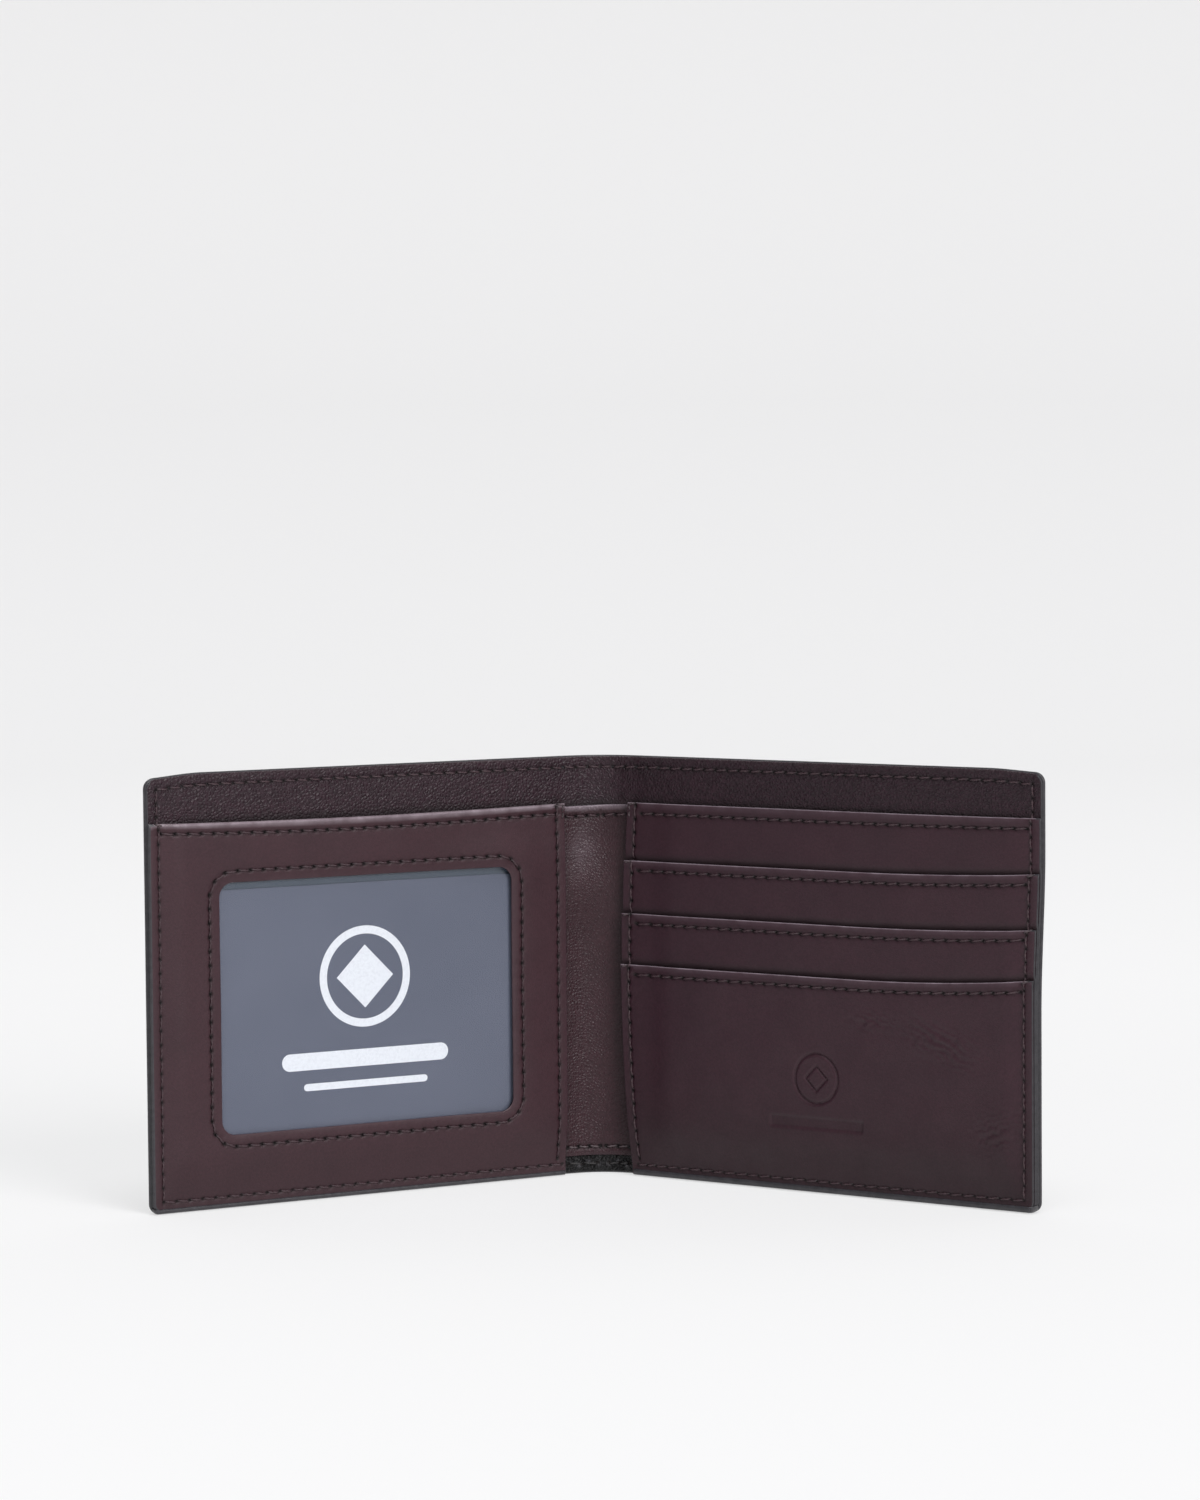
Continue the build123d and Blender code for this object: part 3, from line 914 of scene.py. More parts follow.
def thread_piece(name, side, rows, material, surface, *, warp_for=None, lift=None, rise=0.17,
                 outside=False, seed=3):
    """Two twisted strands from hole to hole, each stitch leaning a little across its row.
    warp_for and lift move a point along a and z, and rise is how far a stitch stands up."""
    rng = np.random.default_rng(seed)
    verts, faces, stamps, end_shade = [], [], [], []
    t = np.linspace(*THREAD_SPAN, THREAD_STEPS)
    arch = np.sin(math.pi * t) ** 0.75
    for row in rows:
        ends = np.roll(row.points, -1, axis=0)
        spans = zip(row.points, ends) if row.closed else zip(row.points[:-1], ends[:-1])
        for start, end in spans:
            run = end - start
            length = np.hypot(*run)
            ahead = run / length
            across = np.array([-ahead[1], ahead[0]])
            lean = LEAN + rng.uniform(-0.04, 0.05)
            if abs(ahead[1]) > 0.7:
                lean *= UPRIGHT_LEAN
            high = rise * (1 + rng.uniform(-0.15, 0.2))
            wobble = rng.uniform(-0.04, 0.04)
            twist = rng.uniform(0, math.pi)
            path = start + np.outer(t, run) + np.outer((t - 0.5) * 2 * lean + wobble, across)
            body = [surface(a, z) for a, z in path]
            height = -SINK + (SINK + high) * arch
            for strand in (0, 1):
                phase = twist + math.pi * strand + 2 * math.pi * STRAND_TWISTS * t
                faces.extend(strand_faces(len(verts)))
                for k in range(THREAD_STEPS):
                    radius = THREAD_R * (END_TAPER if k in (0, THREAD_STEPS - 1) else 1.0)
                    aside = STRAND_OFFSET * math.cos(phase[k])
                    middle = height[k] + STRAND_OFFSET * math.sin(phase[k])
                    from_hole = length * min(t[k], 1 - t[k])
                    for m, turn in enumerate(THREAD_RING):
                        off = aside + radius * math.cos(turn)
                        up = middle + radius * math.sin(turn)
                        spot = path[k] + across * off
                        verts.append((*spot, body[k] + (-up if outside else up)))
                        run_mm = length * t[k] + STAMP_STEP * len(verts)
                        stamps.append((run_mm, strand * 2.0 + m * 0.2, 0.0))
                        end_shade.append(math.exp(-((from_hole / END_SHADE_REACH) ** 2)))
    a, z, w = np.array(verts).T
    shift = warp_for(a, z) if warp_for else 0.0
    raised = lift(a, z) if lift else 0.0
    piece = make_object(name, place(side, a + shift, z + raised, w), faces, [material])
    set_attribute(piece, "leather_mm", np.array(stamps), "FLOAT_VECTOR")
    # painted shade at the stitch ends, near their holes
    set_attribute(piece, "hole", end_shade)
    return piece


def surface_of(side):
    def surface(a, z):
        return float(FACES[visible(side, a, z)](np.array(a), np.array(z)))
    return surface


# ---- materials ----

def new_material(name, colour, roughness):
    material = bpy.data.materials.new(name)
    material.use_nodes = True
    shader = material.node_tree.nodes["Principled BSDF"]
    shader.inputs["Base Color"].default_value = (*colour, 1.0)
    shader.inputs["Roughness"].default_value = roughness
    return material, material.node_tree, shader


def node(tree, kind, **values):
    made = tree.nodes.new(kind)
    for key, value in values.items():
        setattr(made, key, value)
    return made


def sheet_coordinates(tree, scale):
    """The point on the sheet, in millimetres, times scale."""
    source = node(tree, "ShaderNodeAttribute", attribute_name="leather_mm")
    mapping = node(tree, "ShaderNodeMapping")
    mapping.inputs["Scale"].default_value = (scale, scale, scale * 0.2)
    tree.links.new(source.outputs["Vector"], mapping.inputs["Vector"])
    return mapping.outputs["Vector"]


def texture(tree, kind, scale, inputs, **settings):
    """The outputs of a texture over the sheet."""
    made = node(tree, kind, **settings)
    for key, value in {"Scale": 1.0, **inputs}.items():
        made.inputs[key].default_value = value
    tree.links.new(sheet_coordinates(tree, scale), made.inputs["Vector"])
    return made.outputs


def noise(tree, scale, detail):
    inputs = {"Detail": detail, "Roughness": 0.55}
    return texture(tree, "ShaderNodeTexNoise", scale, inputs)["Fac"]


def cells(tree, scale):
    inputs = {"Randomness": 1.0}
    kind = "ShaderNodeTexVoronoi"
    return texture(tree, kind, scale, inputs, feature="DISTANCE_TO_EDGE")["Distance"]


def thread_wave(tree, direction):
    return texture(tree, "ShaderNodeTexWave", 0.7, {}, bands_direction=direction)["Fac"]


def remap(tree, value, low, high, to_low=0.0, to_high=1.0):
    made = node(tree, "ShaderNodeMapRange")
    numbers = (low, high, to_low, to_high)
    for key, number in zip(("From Min", "From Max", "To Min", "To Max"), numbers):
        made.inputs[key].default_value = number
    tree.links.new(value, made.inputs["Value"])
    return made.outputs["Result"]


def mottle(tree, scale, detail, to_low=0.0, to_high=1.0):
    """Soft patches whose values run from to_low to to_high."""
    return remap(tree, noise(tree, scale, detail), 0.3, 0.7, to_low, to_high)


def factor_of(tree, name):
    """A value that set_attribute() has written on the mesh."""
    return node(tree, "ShaderNodeAttribute", attribute_name=name).outputs["Fac"]


def paint(tree, shader, factor, first, second):
    """Colours a shader with a mix of two colours."""
    tree.links.new(mix_colour(tree, factor, first, second), shader.inputs["Base Color"])


def mix_colour(tree, factor, first, second):
    """Mixes two colours; each is a colour or a socket."""
    made = node(tree, "ShaderNodeMix", data_type="RGBA")
    tree.links.new(factor, made.inputs["Factor"])
    for key, value in (("A", first), ("B", second)):
        socket = next(s for s in made.inputs if s.name == key and s.type == "RGBA")
        if isinstance(value, tuple):
            socket.default_value = (*value, 1.0)
        else:
            tree.links.new(value, socket)
    return next(s for s in made.outputs if s.type == "RGBA")


def maths(tree, operation, first, second):
    made = node(tree, "ShaderNodeMath", operation=operation)
    for socket, value in zip(made.inputs, (first, second)):
        if isinstance(value, (int, float)):
            socket.default_value = value
        else:
            tree.links.new(value, socket)
    return made.outputs[0]


def add_bump(tree, shader, layers):
    """Chains bumps onto a shader; layers are (height, depth in millimetres)."""
    normal = None
    for height, depth in layers:
        bump = node(tree, "ShaderNodeBump")
        bump.inputs["Strength"].default_value = 1.0
        bump.inputs["Distance"].default_value = depth * MM
        tree.links.new(height, bump.inputs["Height"])
        if normal:
            tree.links.new(normal, bump.inputs["Normal"])
        normal = bump.outputs["Normal"]
    tree.links.new(normal, shader.inputs["Normal"])


# near-black colour of painted shade: in needle holes, above mouths, at feet and beside panels
PAINTED_SHADE_COLOUR = (0.008, 0.005, 0.005)
HOLE_ROUGHER = 0.30
WORN_SMOOTHER = 0.14
DARK_SPECK = 0.40  # of the dark colour


def leather(name, light, dark, wear_and_highlight, grain, grain_depth, roughness=(0.40, 0.50), fleck=0.25):
    """Dyed leather: mottled colour, needle holes with painted shade, worn edges with a painted
    highlight, and grain of the given size and depth."""
    material, tree, shader = new_material(name, light, roughness[0])
    shader.inputs["Specular IOR Level"].default_value = 0.36
    speck = maths(tree, "MULTIPLY", remap(tree, noise(tree, 0.9 / grain, 2.0), 0.38, 0.62), fleck)
    colour = mix_colour(tree, mottle(tree, 0.09, 4.0), light, dark)
    colour = mix_colour(tree, speck, colour, tuple(c * DARK_SPECK for c in dark))
    wear_and_highlight_mask = factor_of(tree, "wear_and_highlight")
    rub_and_highlight = maths(tree, "MULTIPLY", wear_and_highlight_mask, mottle(tree, 0.35, 3.0, 0.45, 1.0))
    # paler colour along edges and patches: partly wear, partly a painted highlight
    colour = mix_colour(tree, rub_and_highlight, colour, wear_and_highlight)
    # painted shade: the hole attribute darkens the colour where shade falls
    hole = factor_of(tree, "hole")
    paint(tree, shader, hole, colour, PAINTED_SHADE_COLOUR)
    gloss = mottle(tree, 0.22, 3.0, *roughness)
    gloss = maths(tree, "SUBTRACT", gloss, maths(tree, "MULTIPLY", wear_and_highlight_mask, WORN_SMOOTHER))
    gloss = maths(tree, "ADD", gloss, maths(tree, "MULTIPLY", hole, HOLE_ROUGHER))
    tree.links.new(gloss, shader.inputs["Roughness"])
    creases = remap(tree, cells(tree, 1.0 / grain), 0.0, 0.35)
    pores = noise(tree, 2.4 / grain, 2.0)
    swell = noise(tree, 0.4 / grain, 2.0)
    layers = ((swell, grain_depth * 1.2), (creases, grain_depth), (pores, grain_depth * 0.4))
    add_bump(tree, shader, layers)
    return material


def edge_paint():
    """Charcoal edge paint, built up in slightly uneven coats."""
    material, tree, shader = new_material("edge_paint", (0.037, 0.035, 0.039), 0.36)
    coat = mottle(tree, 0.8, 4.0)
    paint(tree, shader, coat, (0.0445, 0.0420, 0.0475), (0.0235, 0.0220, 0.0262))
    tree.links.new(mottle(tree, 1.3, 3.0, 0.30, 0.48), shader.inputs["Roughness"])
    add_bump(tree, shader, ((noise(tree, 1.1, 3.0), 0.05), (noise(tree, 5.0, 2.0), 0.012)))
    return material


def cloth_back():
    """Dark woven backing of the sheets."""
    material, tree, shader = new_material("backing_cloth", (0.022, 0.018, 0.019), 0.85)
    weave = maths(tree, "MULTIPLY", thread_wave(tree, "X"), thread_wave(tree, "Y"))
    paint(tree, shader, weave, (0.016, 0.013, 0.014), (0.034, 0.028, 0.029))
    add_bump(tree, shader, ((weave, 0.06),))
    return material


def thread_material(name, light, dark):
    material, tree, shader = new_material(name, light, 0.48)
    shader.inputs["Specular IOR Level"].default_value = 0.42
    fibre = remap(tree, noise(tree, 2.2, 2.0), 0.35, 0.65)
    colour = mix_colour(tree, fibre, light, dark)
    # painted shade: the thread is coloured darker where it goes into its holes
    paint(tree, shader, factor_of(tree, "hole"), colour, (0.007, 0.004, 0.005))
    add_bump(tree, shader, ((noise(tree, 6.0, 2.0), 0.03),))
    return material


def film_material():
    """Clear plastic, a little wavy."""
    material, tree, shader = new_material("window_film", (0.96, 0.975, 0.98), 0.03)
    shader.inputs["IOR"].default_value = 1.22
    shader.inputs["Transmission Weight"].default_value = 1.0
    tree.links.new(mottle(tree, 0.06, 2.0, 0.015, 0.045), shader.inputs["Roughness"])
    return material


def card_material():
    material, tree, shader = new_material("insert_card_board", (0.111, 0.122, 0.170), 0.55)
    shader.inputs["Specular IOR Level"].default_value = 0.2
    tone = mottle(tree, 0.03, 2.0)
    fleck = remap(tree, noise(tree, 1.4, 3.0), 0.45, 0.70, 0.0, 0.10)
    colour = mix_colour(tree, tone, (0.1070, 0.1190, 0.1640), (0.1215, 0.1335, 0.1815))
    paint(tree, shader, fleck, colour, (0.0824, 0.0935, 0.1313))
    add_bump(tree, shader, ((noise(tree, 2.5, 3.0), 0.002),))
    return material


def print_material():
    material, tree, shader = new_material("white_print", (0.72, 0.75, 0.80), 0.5)
    fleck = remap(tree, noise(tree, 1.6, 3.0), 0.45, 0.75, 0.0, 0.5)
    paint(tree, shader, fleck, (0.797, 0.824, 0.879), (0.625, 0.647, 0.706))
    return material


def sleeve_material():
    material, tree, shader = new_material("window_sleeve_back", (0.085, 0.105, 0.115), 0.3)
    paint(tree, shader, noise(tree, 0.1, 2.0), (0.056, 0.074, 0.102), (0.064, 0.083, 0.115))
    return material


# light, dark, and worn colour that is partly a painted highlight, size and depth of the grain,
# roughness, strength of the flecks
PANEL = leather(
    "panel_leather", (0.0460, 0.0162, 0.0228), (0.0385, 0.0136, 0.0195),
    (0.300, 0.245, 0.275), 0.5, 0.018,
)
CARD_PANEL = leather(
    "card_panel_leather", (0.0445, 0.0152, 0.0238), (0.0370, 0.0126, 0.0203),
    (0.330, 0.270, 0.310), 0.5, 0.018,
)
LINING = leather(
    "lining_leather", (0.0325, 0.0125, 0.0200), (0.0250, 0.0098, 0.0160),
    (0.050, 0.030, 0.036), 0.75, 0.12, (0.38, 0.50), 0.55,
)
STRIP = leather(
    "strip_leather", (0.0380, 0.0116, 0.0170), (0.0305, 0.0094, 0.0140),
    (0.300, 0.245, 0.280), 0.65, 0.062, (0.34, 0.46), 0.35,
)
COVER = leather(
    "cover_leather", (0.0170, 0.0118, 0.0130), (0.0115, 0.0080, 0.0090),
    (0.040, 0.036, 0.038), 1.5, 0.24, (0.30, 0.44),
)
FOOT = leather(
    "foot_leather", (0.0050, 0.0044, 0.0052), (0.0022, 0.0019, 0.0024),
    (0.085, 0.080, 0.090), 0.8, 0.20, (0.42, 0.55),
)
EDGE = edge_paint()
BACKING = cloth_back()
THREAD = thread_material("brown_thread", (0.090, 0.056, 0.064), (0.034, 0.014, 0.019))
PALE_THREAD = thread_material("pale_thread", (0.165, 0.130, 0.138), (0.060, 0.038, 0.043))
DARK_THREAD = thread_material("charcoal_thread", (0.050, 0.046, 0.046), (0.026, 0.024, 0.025))
FILM = film_material()
CARD = card_material()
PRINT = print_material()
SLEEVE = sleeve_material()


# ---- pieces ----

COVER_RADII = (CORNER_R, CORNER_R, 0, 0)
PANEL_RADII = (CORNER_R, 0, 0, 0)
BOW = {"left": None, "right": card_bow}
PANEL_OF = {"left": PANEL, "right": CARD_PANEL}
PANEL_LIFT = {"left": id_mouth_sag, "right": card_rise}


def blend_points(side):
    """Where the leather starts and stops bending at a fold line."""
    start = place(side, -BLEND_REACH, 0.0, FOLD_DEPTH)
    end = place(side, BLEND_REACH, 0.0, FOLD_DEPTH)
    return tuple(float(v) for v in start), tuple(float(v) for v in end)


def attach(piece, side, slot, *nodes, body=None):
    """Fastens a piece to one body when one is given, and otherwise bakes its place into its mesh.
    """
    if body:
        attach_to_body(piece, body)
    else:
        start, end = blend_points(side)
        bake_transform(piece)
    if nodes:
        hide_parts(*nodes)


def depth_of(name, index):
    return lambda a, z: layer(name, index, a, z)


SEAM_PINCH = 0.30
FOLD_CREASE = 0.10
OUTSIDE_SEAT = 0.09  # the outside stitches lie this deep in the cover


def cover_outside(a, z):
    """The cover thins towards its sewn edges, is a little uneven, and is creased along its fold."""
    reach = np.minimum(np.minimum(HALF_LENGTH - a, z), HEIGHT - z)
    pinch = SEAM_PINCH * (1 - ramp(reach, 0.3, 3.4))
    crease = FOLD_CREASE * hill(a, 1.5) * ramp(reach, 2.0, 4.0)
    return pinch + waves(a, z, 5, 0.05, 38.0) * from_spine(a) + crease


def outside_seam_face(a, z):
    return float(cover_outside(np.array(a), np.array(z))) + OUTSIDE_SEAT


def top_droop(side):
    """The cover's top corner eases down towards the outer edge."""
    def droop(a, z):
        return -CORNER_DROOP[side] * ramp(a, HALF_LENGTH - 13.0, 15.0) * ramp(z, 72.0, 18.0)
    return droop


def at_spine_foot(a, z):
    return (z < STRIP_BOTTOM + 2.5) & (a < 4.0)


def cover_pieces(side):
    rows = edge_rows(CENTRE_A, 1.0, 1.0)
    lean = top_lean if side == "right" else None
    shape = {
        "radii": COVER_RADII,
        "cut": True,
        "spacing": 1.6,
        "warp": lean,
        "top_line": top_droop(side),
    }
    cover = sheet(
        f"cover_{side}_leather", side, (CENTRE_A, HALF_LENGTH, 0.0, HEIGHT), depth_of("cover", 1),
        cover_outside, (EDGE, EDGE, COVER), rim=0.55, back_holes=row_holes(rows), seed=5,
        painted=("out", "low", "top"), **shape,
    )
    attach(cover, side, "cover_leather", f"cover_{side}", f"cover_core_{side}", "cover_spine")
    above_panel = ((3.0, SIDE_A + 1.5, PANEL_TOP - 1.0, PANEL_TOP + 2.2), 0.6)
    foot = ((CENTRE_A, 2.0, 0.6, STRIP_BOTTOM + 1.0), 0.35)
    bounds = (CENTRE_A, HALF_LENGTH - 0.35, 0.3, HEIGHT - INSET)
    lining = sheet(
        f"cover_lining_{side}_leather", side, bounds, lining_face, depth_of("lining", 0),
        (LINING, EDGE, LINING, FOOT), rim=0.25, holes=holes_on(side, "lining"), seed=6,
        patches=(above_panel, foot), wear_and_highlight_extent=(0.0, 0.2, 0.0), patch=painted_foot_highlights,
        painted_shade=mouth_shade(PANEL_TOP - 0.3), dark_where=at_spine_foot, **shape,
    )
    attach(lining, side, "lining", f"cover_lining_{side}", "cover_lining_spine")
    thread = thread_piece(
        f"cover_{side}_outside_stitches", side, rows, DARK_THREAD, outside_seam_face,
        warp_for=lean, lift=top_droop(side), rise=0.10, outside=True, seed=8,
    )
    attach(thread, side, "thread_outside", f"thread_outside_{side}", "thread_outside_spine")


def divider_piece(side):
    start = {"left": ID_EDGE + 0.4, "right": CARD_EDGE + 0.5}[side]
    bounds = (start, HALF_LENGTH - 0.5, 0.35, PANEL_TOP - 0.15)
    piece = sheet(
        f"divider_{side}_leather", side, bounds, depth_of("divider", 1), depth_of("divider", 0),
        (PANEL_OF[side], EDGE, BACKING), radii=PANEL_RADII, rim=0.16, spacing=2.4,
        seed=9, warp=BOW[side], top_line=PANEL_LIFT[side],
    )
    nodes = (f"divider_{side}", f"divider_cloth_{side}", f"bill_tape_{side}")
    attach(piece, side, "panel_leather", *nodes)


STRIP_SWELL = 1.05
STRIP_FALL = 0.35
STRIP_T = 0.42
STRIP_LIFT = 0.15  # how far it stands off the leather behind it
STRIP_HEMS = (0.16, 0.14)  # at its top and at its foot
# depth and reach of the shade beside the panel that overlaps the strip
STRIP_SHADE = {"left": (0.6, 0.5), "right": (0.42, 2.6)}


def strip_piece(side):
    rows = strip_rows(side)
    holes = [hole for hole in row_holes(rows) if hole[0] > CENTRE_A + 0.2]

    def face(a, z):
        u = across_spine(side, a)
        swell = STRIP_SWELL * patch_of(u, z, -3.5, 62.0, 6.5, 8.0)
        fall = -STRIP_FALL * ramp(u, -2.0, 8.0)
        foot = STRIP_HEMS[1] * hill(z - STRIP_BOTTOM - 0.9, HEM_REACH)
        hems = hem(z, STRIP_TOP, STRIP_HEMS[0]) + foot
        return layer("strip", 1, a, z) + swell + fall + hems + STRIP_LIFT

    def back(a, z):
        return face(a, z) - STRIP_T - 0.22 * hill(z - STRIP_TOP, 1.2)

    def shaded(a, z):
        edge = STRIP_EDGE[side]
        if side == "right":
            edge = edge + card_bow(edge + 0 * a, z)
        depth, reach = STRIP_SHADE[side]
        return depth * hill(np.maximum(edge - a, 0.0), reach)

    def painted_highlight_patch(a, z):
        """A painted highlight near the top of the strip, on its ID side."""
        return 0.15 * patch_of(across_spine(side, a), z, -4.8, 70.0, 3.0, 4.6)

    def surface(a, z):
        return float(face(np.array(a), np.array(z)))

    bounds = (CENTRE_A, STRIP_EDGE[side] + 3.2, STRIP_BOTTOM, STRIP_TOP)
    piece = sheet(
        f"divider_strip_{side}_leather", side, bounds, face, back, (STRIP, STRIP, BACKING),
        rim=0.3, cut=True, holes=holes, spacing=1.1, seed=12, painted=(), top_line=strip_sag(side),
        wear_and_highlight_extent=(0.1, 0.42, 0.0), patch=painted_highlight_patch, painted_shade=shaded,
    )
    attach(piece, side, "panel_leather", "divider_strip", "divider_cloth_strip")
    plans = (
        ("foot", rows[:1], PALE_THREAD, 14, "thread_edge_spine"),
        ("top", rows[1:], THREAD, 13, "thread_strip"),
    )
    for where, row, material, seed, cad_node in plans:
        thread = thread_piece(
            f"strip_{where}_{side}_stitches", side, row, material, surface,
            lift=strip_sag(side), rise=0.2, seed=seed,
        )
        attach(thread, side, "thread_inside", cad_node)


def edge_bead(side, start, depth, high):
    """Edge paint built up along the foot of a half, flush with its panel."""
    def face(a, z):
        return depth + waves(a, z, 51, 0.05, 9.0)

    bead = sheet(
        f"edge_bead_{side}", side, (start + 0.3, HALF_LENGTH - 0.35, 0.1, high), face, level(0.9),
        (EDGE, EDGE, EDGE), radii=(CORNER_R * 0.5, 0, 0, 0), rim=0.32, spacing=0.9, seed=51,
        painted=(), warp=BOW[side],
    )
    attach(bead, side, "cover_leather")


FRAME_T = 0.60
FILM_MARGIN = 4.0


def frame_back(a, z):
    """The ID frame's back, deeper at its mouth and along its spine-side edge."""
    mouth = 0.40 * hill(z - PANEL_TOP, 1.2) * press(a, z - 6.0)
    side = 0.55 * hill(a - ID_EDGE, 3.0)
    return frame_face(a, z) - FRAME_T - np.maximum(mouth, side)


def film_depth(index):
    """The film's back (0) or face (1), a little uneven."""
    return lambda a, z: FILM_DEPTH[index] + waves(a, z, 41, 0.05, 60.0)


def id_pocket():
    panel = sheet(
        "id_panel_leather", "left", (ID_EDGE, HALF_LENGTH - INSET, INSET, PANEL_TOP), frame_face,
        frame_back, (PANEL, EDGE, BACKING), radii=PANEL_RADII, rim=0.5,
        window=(WINDOW, WINDOW_R), window_rim=0.22, holes=holes_on("left", "frame"), spacing=1.8,
        seed=15, wear_and_highlight_extent=(0.15, 0.42, 0.25), top_line=id_mouth_sag, painted_shade=painted_foot_shade(0.16, 9.0),
    )
    attach(panel, "left", "panel_leather", "id_frame", "id_tape")
    bounds = grown(WINDOW, FILM_MARGIN)
    film = sheet(
        "id_window_film", "left", bounds, film_depth(1), film_depth(0), (FILM, FILM, FILM),
        radii=(2, 2, 2, 2), rim=0.05, spacing=2.2, seed=16, painted=(),
    )
    film.visible_shadow = False
    film.visible_diffuse = False
    film.visible_glossy = False
    attach(film, "left", "film", "id_film", body="left_half")
    sleeve = sheet(
        "id_window_sleeve_back", "left", bounds, level(SLEEVE_DEPTH[1]), level(SLEEVE_DEPTH[0]),
        (SLEEVE, SLEEVE, SLEEVE), radii=(2, 2, 2, 2), rim=0.03, spacing=4.0, seed=17, painted=(),
    )
    attach(sleeve, "left", "film", body="left_half")


# ---- insert card: printed shapes, about the window's middle ----

PRINT_A = (WINDOW[0] + WINDOW[1]) / 2 + 0.5
PRINT_Z = 46.0
PRINT_RING = (10.6, 8.9)  # outer and inner radius
PRINT_DIAMOND = 6.6
PRINT_BARS = ((19.5, 3.6, 29.0), (14.5, 1.5, 23.6))  # half width, height, and height of the middle
PRINT_DEPTH = (INSERT_DEPTH[1] - 0.01, INSERT_DEPTH[1] + 0.02)


def print_circle(r, count):
    turn = np.linspace(0, 2 * math.pi, count, endpoint=False)
    return np.stack([PRINT_A + r * np.cos(turn), PRINT_Z + r * np.sin(turn)], axis=1)


def add_print(verts, faces, outer, inner=None):
    """A flat slab between an outline and, if given, an inner outline of as many points."""
    first, count = len(verts), len(outer)
    for ring in (outer, outer if inner is None else inner):
        for w in PRINT_DEPTH:
            verts.extend((p[0], p[1], w) for p in ring)
    for i in range(count):
        j = (i + 1) % count
        faces.append((first + i, first + j, first + count + j, first + count + i))
        if inner is not None:
            base = first + 2 * count
            faces.append((base + j, base + i, base + count + i, base + count + j))
            faces.append((first + count + i, first + count + j, base + count + j, base + count + i))
    if inner is None:
        faces.append(tuple(first + count + i for i in range(count)))


def insert_pieces():
    card = sheet(
        "insert_card_board", "left", (*INSERT_SPAN, 5.0, INSERT_TOP + 0.7), level(INSERT_DEPTH[1]),
        level(INSERT_DEPTH[0]), (CARD, CARD, CARD), radii=(3, 3, 3, 3), rim=0.08, spacing=4.0,
        seed=18, painted=(),
    )
    attach(card, "left", "insert", "insert_card", body="insert")
    verts, faces = [], []
    add_print(verts, faces, print_circle(PRINT_RING[0], 72), print_circle(PRINT_RING[1], 72))
    add_print(verts, faces, print_circle(PRINT_DIAMOND, 4))
    for half_width, height, z in PRINT_BARS:
        bounds = (PRINT_A - half_width, PRINT_A + half_width, z - height / 2, z + height / 2)
        add_print(verts, faces, rounded_loop(bounds, (height / 2,) * 4, 2.0))
    verts = np.array(verts)
    faces = [f[::-1] for f in faces]
    mark = make_object("insert_card_print", place("left", *verts.T), faces, [PRINT])
    mark.data.polygons.foreach_set("use_smooth", np.zeros(len(mark.data.polygons), bool))
    set_attribute(mark, "leather_mm", verts, "FLOAT_VECTOR")
    attach(mark, "left", "insert", body="insert")


# ---- card pockets ----

# CAD node, sheet, mouth, mouth of the pocket before it, and what is sewn behind it
CARD_SHEETS = (
    ("card_panel", "panel", PANEL_TOP, UPPER_MOUTH, ()),
    ("card_pocket_upper", "upper", UPPER_MOUTH, MIDDLE_MOUTH,
     ("card_cloth_upper", "card_tape_upper")),
    ("card_pocket_middle", "middle", MIDDLE_MOUTH, FRONT_MOUTH,
     ("card_cloth_middle", "card_tape_middle")),
    ("card_pocket_front", "front", FRONT_MOUTH, None, ("card_tape_front",)),
)


def painted_foot_shade(depth, reach):
    """Painted shade: a pocket's leather is coloured a little darker towards its foot."""
    return lambda a, z: depth * hill(z - 3.0, reach)


def slot_back(key):
    """A card sheet's back, which swells a little away from its seams."""
    thick = DEPTHS[key][0][1] - DEPTHS[key][0][0]
    return lambda a, z: FACES[key](a, z) - thick - 0.08 * press(a, z)


def fine_patches(next_mouth):
    """Where a card sheet needs finer points: its pressed mark and wrinkles, or its dip."""
    if next_mouth:
        return [((CARD_EDGE, SIDE_A + 2.0, next_mouth - 0.6, next_mouth + 2.2), 0.55)]
    found = [((EMBLEM_A - 12.5, EMBLEM_A + 12.5, EMBLEM_Z - 12.0, EMBLEM_Z + 7.0), 0.24)]
    for ca, cz, la, lz, _, _ in WRINKLES:
        far, reach = min(ca + la * 1.5, SIDE_A - 1.2), lz * 1.8
        found.append(((ca - la * 1.5, far, cz - reach, cz + reach), 0.42))
    return found


def card_side_pieces():
    for k, (cad_node, key, mouth, next_mouth, sewn) in enumerate(CARD_SHEETS):
        bounds = (CARD_EDGE, HALF_LENGTH - INSET - 0.05 * k, INSET, mouth)
        piece = sheet(
            f"{cad_node}_leather", "right", bounds, FACES[key], slot_back(key),
            (CARD_PANEL, EDGE, BACKING), radii=PANEL_RADII, rim=0.24,
            holes=holes_on("right", key), patches=fine_patches(next_mouth), spacing=1.8,
            seed=20 + k, warp=card_bow, wear_and_highlight_extent=(0.15, 0.17, 0.0), top_line=card_rise,
            painted_shade=mouth_shade(next_mouth) if next_mouth else painted_foot_shade(0.40, 13.0),
        )
        attach(piece, "right", "panel_leather", cad_node, *sewn)


# ---- threads on the inside ----

def seam_lift(side, name):
    """How a seam moves in height with the sheets that it is sewn through."""
    if name.startswith("thread_edge"):
        below = card_rise if side == "right" else level(0.0)
        return lambda a, z: np.where(z > PANEL_TOP, top_droop(side)(a, z), below(a, z))
    if side == "right":
        return card_rise
    return id_mouth_sag if name in ("thread_id_hem", "thread_id_side") else None


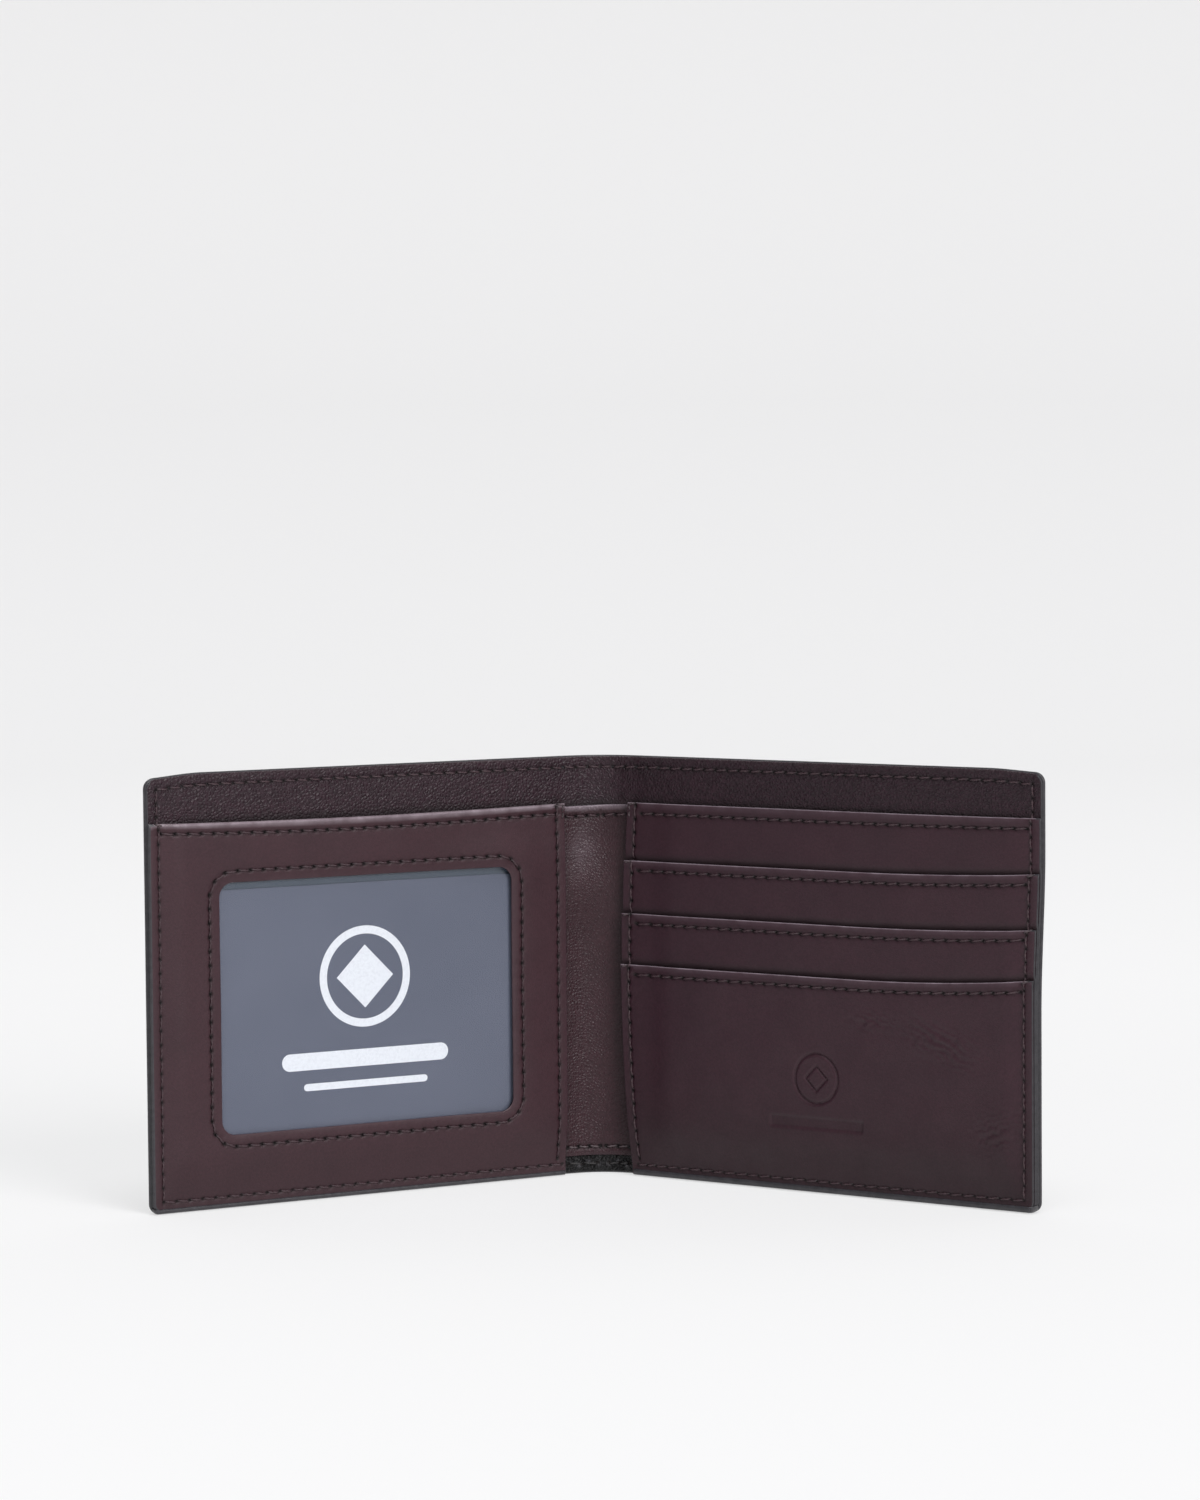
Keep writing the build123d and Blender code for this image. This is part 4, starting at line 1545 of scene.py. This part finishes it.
def inside_threads():
    for side, seams in SEAMS.items():
        for k, (name, rows) in enumerate(seams.items()):
            if name == "foot":
                piece = thread_piece(
                    f"foot_{side}_stitches", side, rows, DARK_THREAD, surface_of(side),
                    rise=0.35, seed=60,
                )
                attach(piece, side, "thread_inside")
                continue
            piece = thread_piece(
                f"{name}_stitches", side, rows, THREAD, surface_of(side), warp_for=BOW[side],
                lift=seam_lift(side, name), seed=40 + k,
                rise=0.13 if name.startswith("thread_edge") else 0.17,
            )
            attach(piece, side, "thread_inside", name)


def mouth_tacks(mouths, edge_a, reach):
    """Short level stitches that hold each mouth's corner."""
    return [Row([(edge_a, mouth - 0.35), (edge_a + reach, mouth - 0.15)]) for mouth in mouths]


def corner_tacks(edge_a):
    """Upright stitches beside the side seam, at a panel's top corner."""
    places = ((0.7, 3.4), (0.75, 1.8), (0.7, 0.3))
    return [Row([(edge_a + out, PANEL_TOP - down) for out, down in places])]


def tack_threads():
    """Pale tacks at the corners of the mouths."""
    mouths = (UPPER_MOUTH, MIDDLE_MOUTH, FRONT_MOUTH)
    card_rows = mouth_tacks((PANEL_TOP, *mouths), CARD_EDGE + 0.1, 2.2)
    card_rows += mouth_tacks(mouths, SIDE_A - 0.7, 1.9) + corner_tacks(CARD_EDGE)
    id_rows = mouth_tacks((PANEL_TOP,), ID_EDGE + 0.2, 2.2)
    id_rows += mouth_tacks((PANEL_TOP,), SIDE_A - 0.9, 1.9) + corner_tacks(ID_EDGE)
    plans = (("card", "right", card_rows, 61), ("id", "left", id_rows, 62))
    for name, side, rows, seed in plans:
        piece = thread_piece(
            f"{name}_mouth_tacks", side, rows, PALE_THREAD, surface_of(side),
            warp_for=BOW[side], lift=PANEL_LIFT[side], seed=seed,
        )
        attach(piece, side, "thread_inside")


for half_side in ("left", "right"):
    cover_pieces(half_side)
    divider_piece(half_side)
    strip_piece(half_side)
edge_bead("left", ID_EDGE, 2.80, 1.2)
edge_bead("right", CARD_EDGE, 3.90, 1.6)
id_pocket()
insert_pieces()
card_side_pieces()
inside_threads()
tack_threads()


# ---- studio: metres from here on ----

FLOOR_GLOW = 0.545
WALL_GLOW = 0.41
TOP_GLOW = 0.065  # added high on the wall
NEAR_GLOW = 0.055  # added on the floor nearest the camera
FLOOR_NEAR = -9.0
FLOOR_FAR = 1.35
FLOOR_HALF = 9.0
WALL_R = 0.5
WALL_TOP = 3.2


def studio_white():
    """Nearly even white paper, a little darker up the wall."""
    material, tree, shader = new_material("studio_white", (0.34, 0.34, 0.34), 0.9)
    shader.inputs["Specular IOR Level"].default_value = 0.0
    shader.inputs["Emission Color"].default_value = (1.0, 1.0, 1.0, 1.0)
    position = node(tree, "ShaderNodeNewGeometry").outputs["Position"]
    split = node(tree, "ShaderNodeSeparateXYZ")
    tree.links.new(position, split.inputs["Vector"])
    back = split.outputs["Y"]
    glow = remap(tree, back, 0.4, 1.8, FLOOR_GLOW, WALL_GLOW)
    glow = maths(tree, "ADD", glow, remap(tree, back, 1.74, 1.845, 0.0, TOP_GLOW))
    glow = maths(tree, "ADD", glow, remap(tree, back, -0.35, 0.15, NEAR_GLOW, 0.0))
    tree.links.new(glow, shader.inputs["Emission Strength"])
    return material


def studio_floor():
    """A pale floor that curves up into a pale wall."""
    profile = [(FLOOR_NEAR, 0.0), (FLOOR_FAR, 0.0)]
    for t in np.linspace(0, math.pi / 2, 24)[1:]:
        profile.append((FLOOR_FAR + WALL_R * math.sin(t), WALL_R * (1 - math.cos(t))))
    profile.append((FLOOR_FAR + WALL_R, WALL_TOP))
    verts = [(x, y, z) for y, z in profile for x in (-FLOOR_HALF, FLOOR_HALF)]
    faces = [(2 * i, 2 * i + 1, 2 * i + 3, 2 * i + 2) for i in range(len(profile) - 1)]
    floor = make_object("studio_floor", verts, faces, [studio_white()])


# name, direction towards it, width of the light in degrees, strength, colour
LIGHTS = (
    ("key_light", (0.57, -0.68, 0.46), 30.0, 1.65, (1.0, 0.975, 0.985)),
    ("top_light", (0.05, -0.28, 1.0), 30.0, 1.5, (0.97, 0.98, 1.0)),
)
SKY = 0.28
SKY_COLOUR = (0.96, 0.97, 1.0, 1.0)


def studio_lights():
    """Even light from two directions, as from large softboxes far away, and a little sky."""
    for name, towards, spread, strength, colour in LIGHTS:
        data = bpy.data.lights.new(name, "SUN")
        data.angle = math.radians(spread)
        data.energy = strength
        data.color = colour
        lamp = add_to_scene(name, data)
        lamp.rotation_euler = Vector(towards).to_track_quat("Z", "Y").to_euler()
    world = bpy.data.worlds.new("studio")
    world.use_nodes = True
    background = world.node_tree.nodes["Background"]
    background.inputs["Color"].default_value = SKY_COLOUR
    background.inputs["Strength"].default_value = SKY
    bpy.context.scene.world = world
    bpy.context.scene.view_settings.view_transform = "Standard"


CAMERA_FROM_SPINE = Vector((0.0366, -0.9797, 0.1525))  # from the middle between the fold lines
CAMERA_TURN = (3.58, 2.136, -0.478)  # down, aside and about its own axis, in degrees
LENS = 110.4
SENSOR = 36.0


def camera():
    """Looks down slightly at the open wallet from well in front of it."""
    data = bpy.data.cameras.new("camera")
    data.lens = LENS
    data.sensor_width = SENSOR
    data.clip_start = 0.01
    data.clip_end = 20.0
    down, aside, roll = (math.radians(v) for v in CAMERA_TURN)
    pitch = Matrix.Rotation(math.radians(90) - down, 4, "X")
    turn = Matrix.Rotation(aside, 4, "Z") @ pitch @ Matrix.Rotation(roll, 4, "Z")
    at = Vector((0.0, FOLD.y * MM, 0.0)) + CAMERA_FROM_SPINE
    eye = add_to_scene("camera", data)
    eye.matrix_world = Matrix.Translation(at) @ turn
    bpy.context.scene.camera = eye


studio_floor()
studio_lights()
camera()
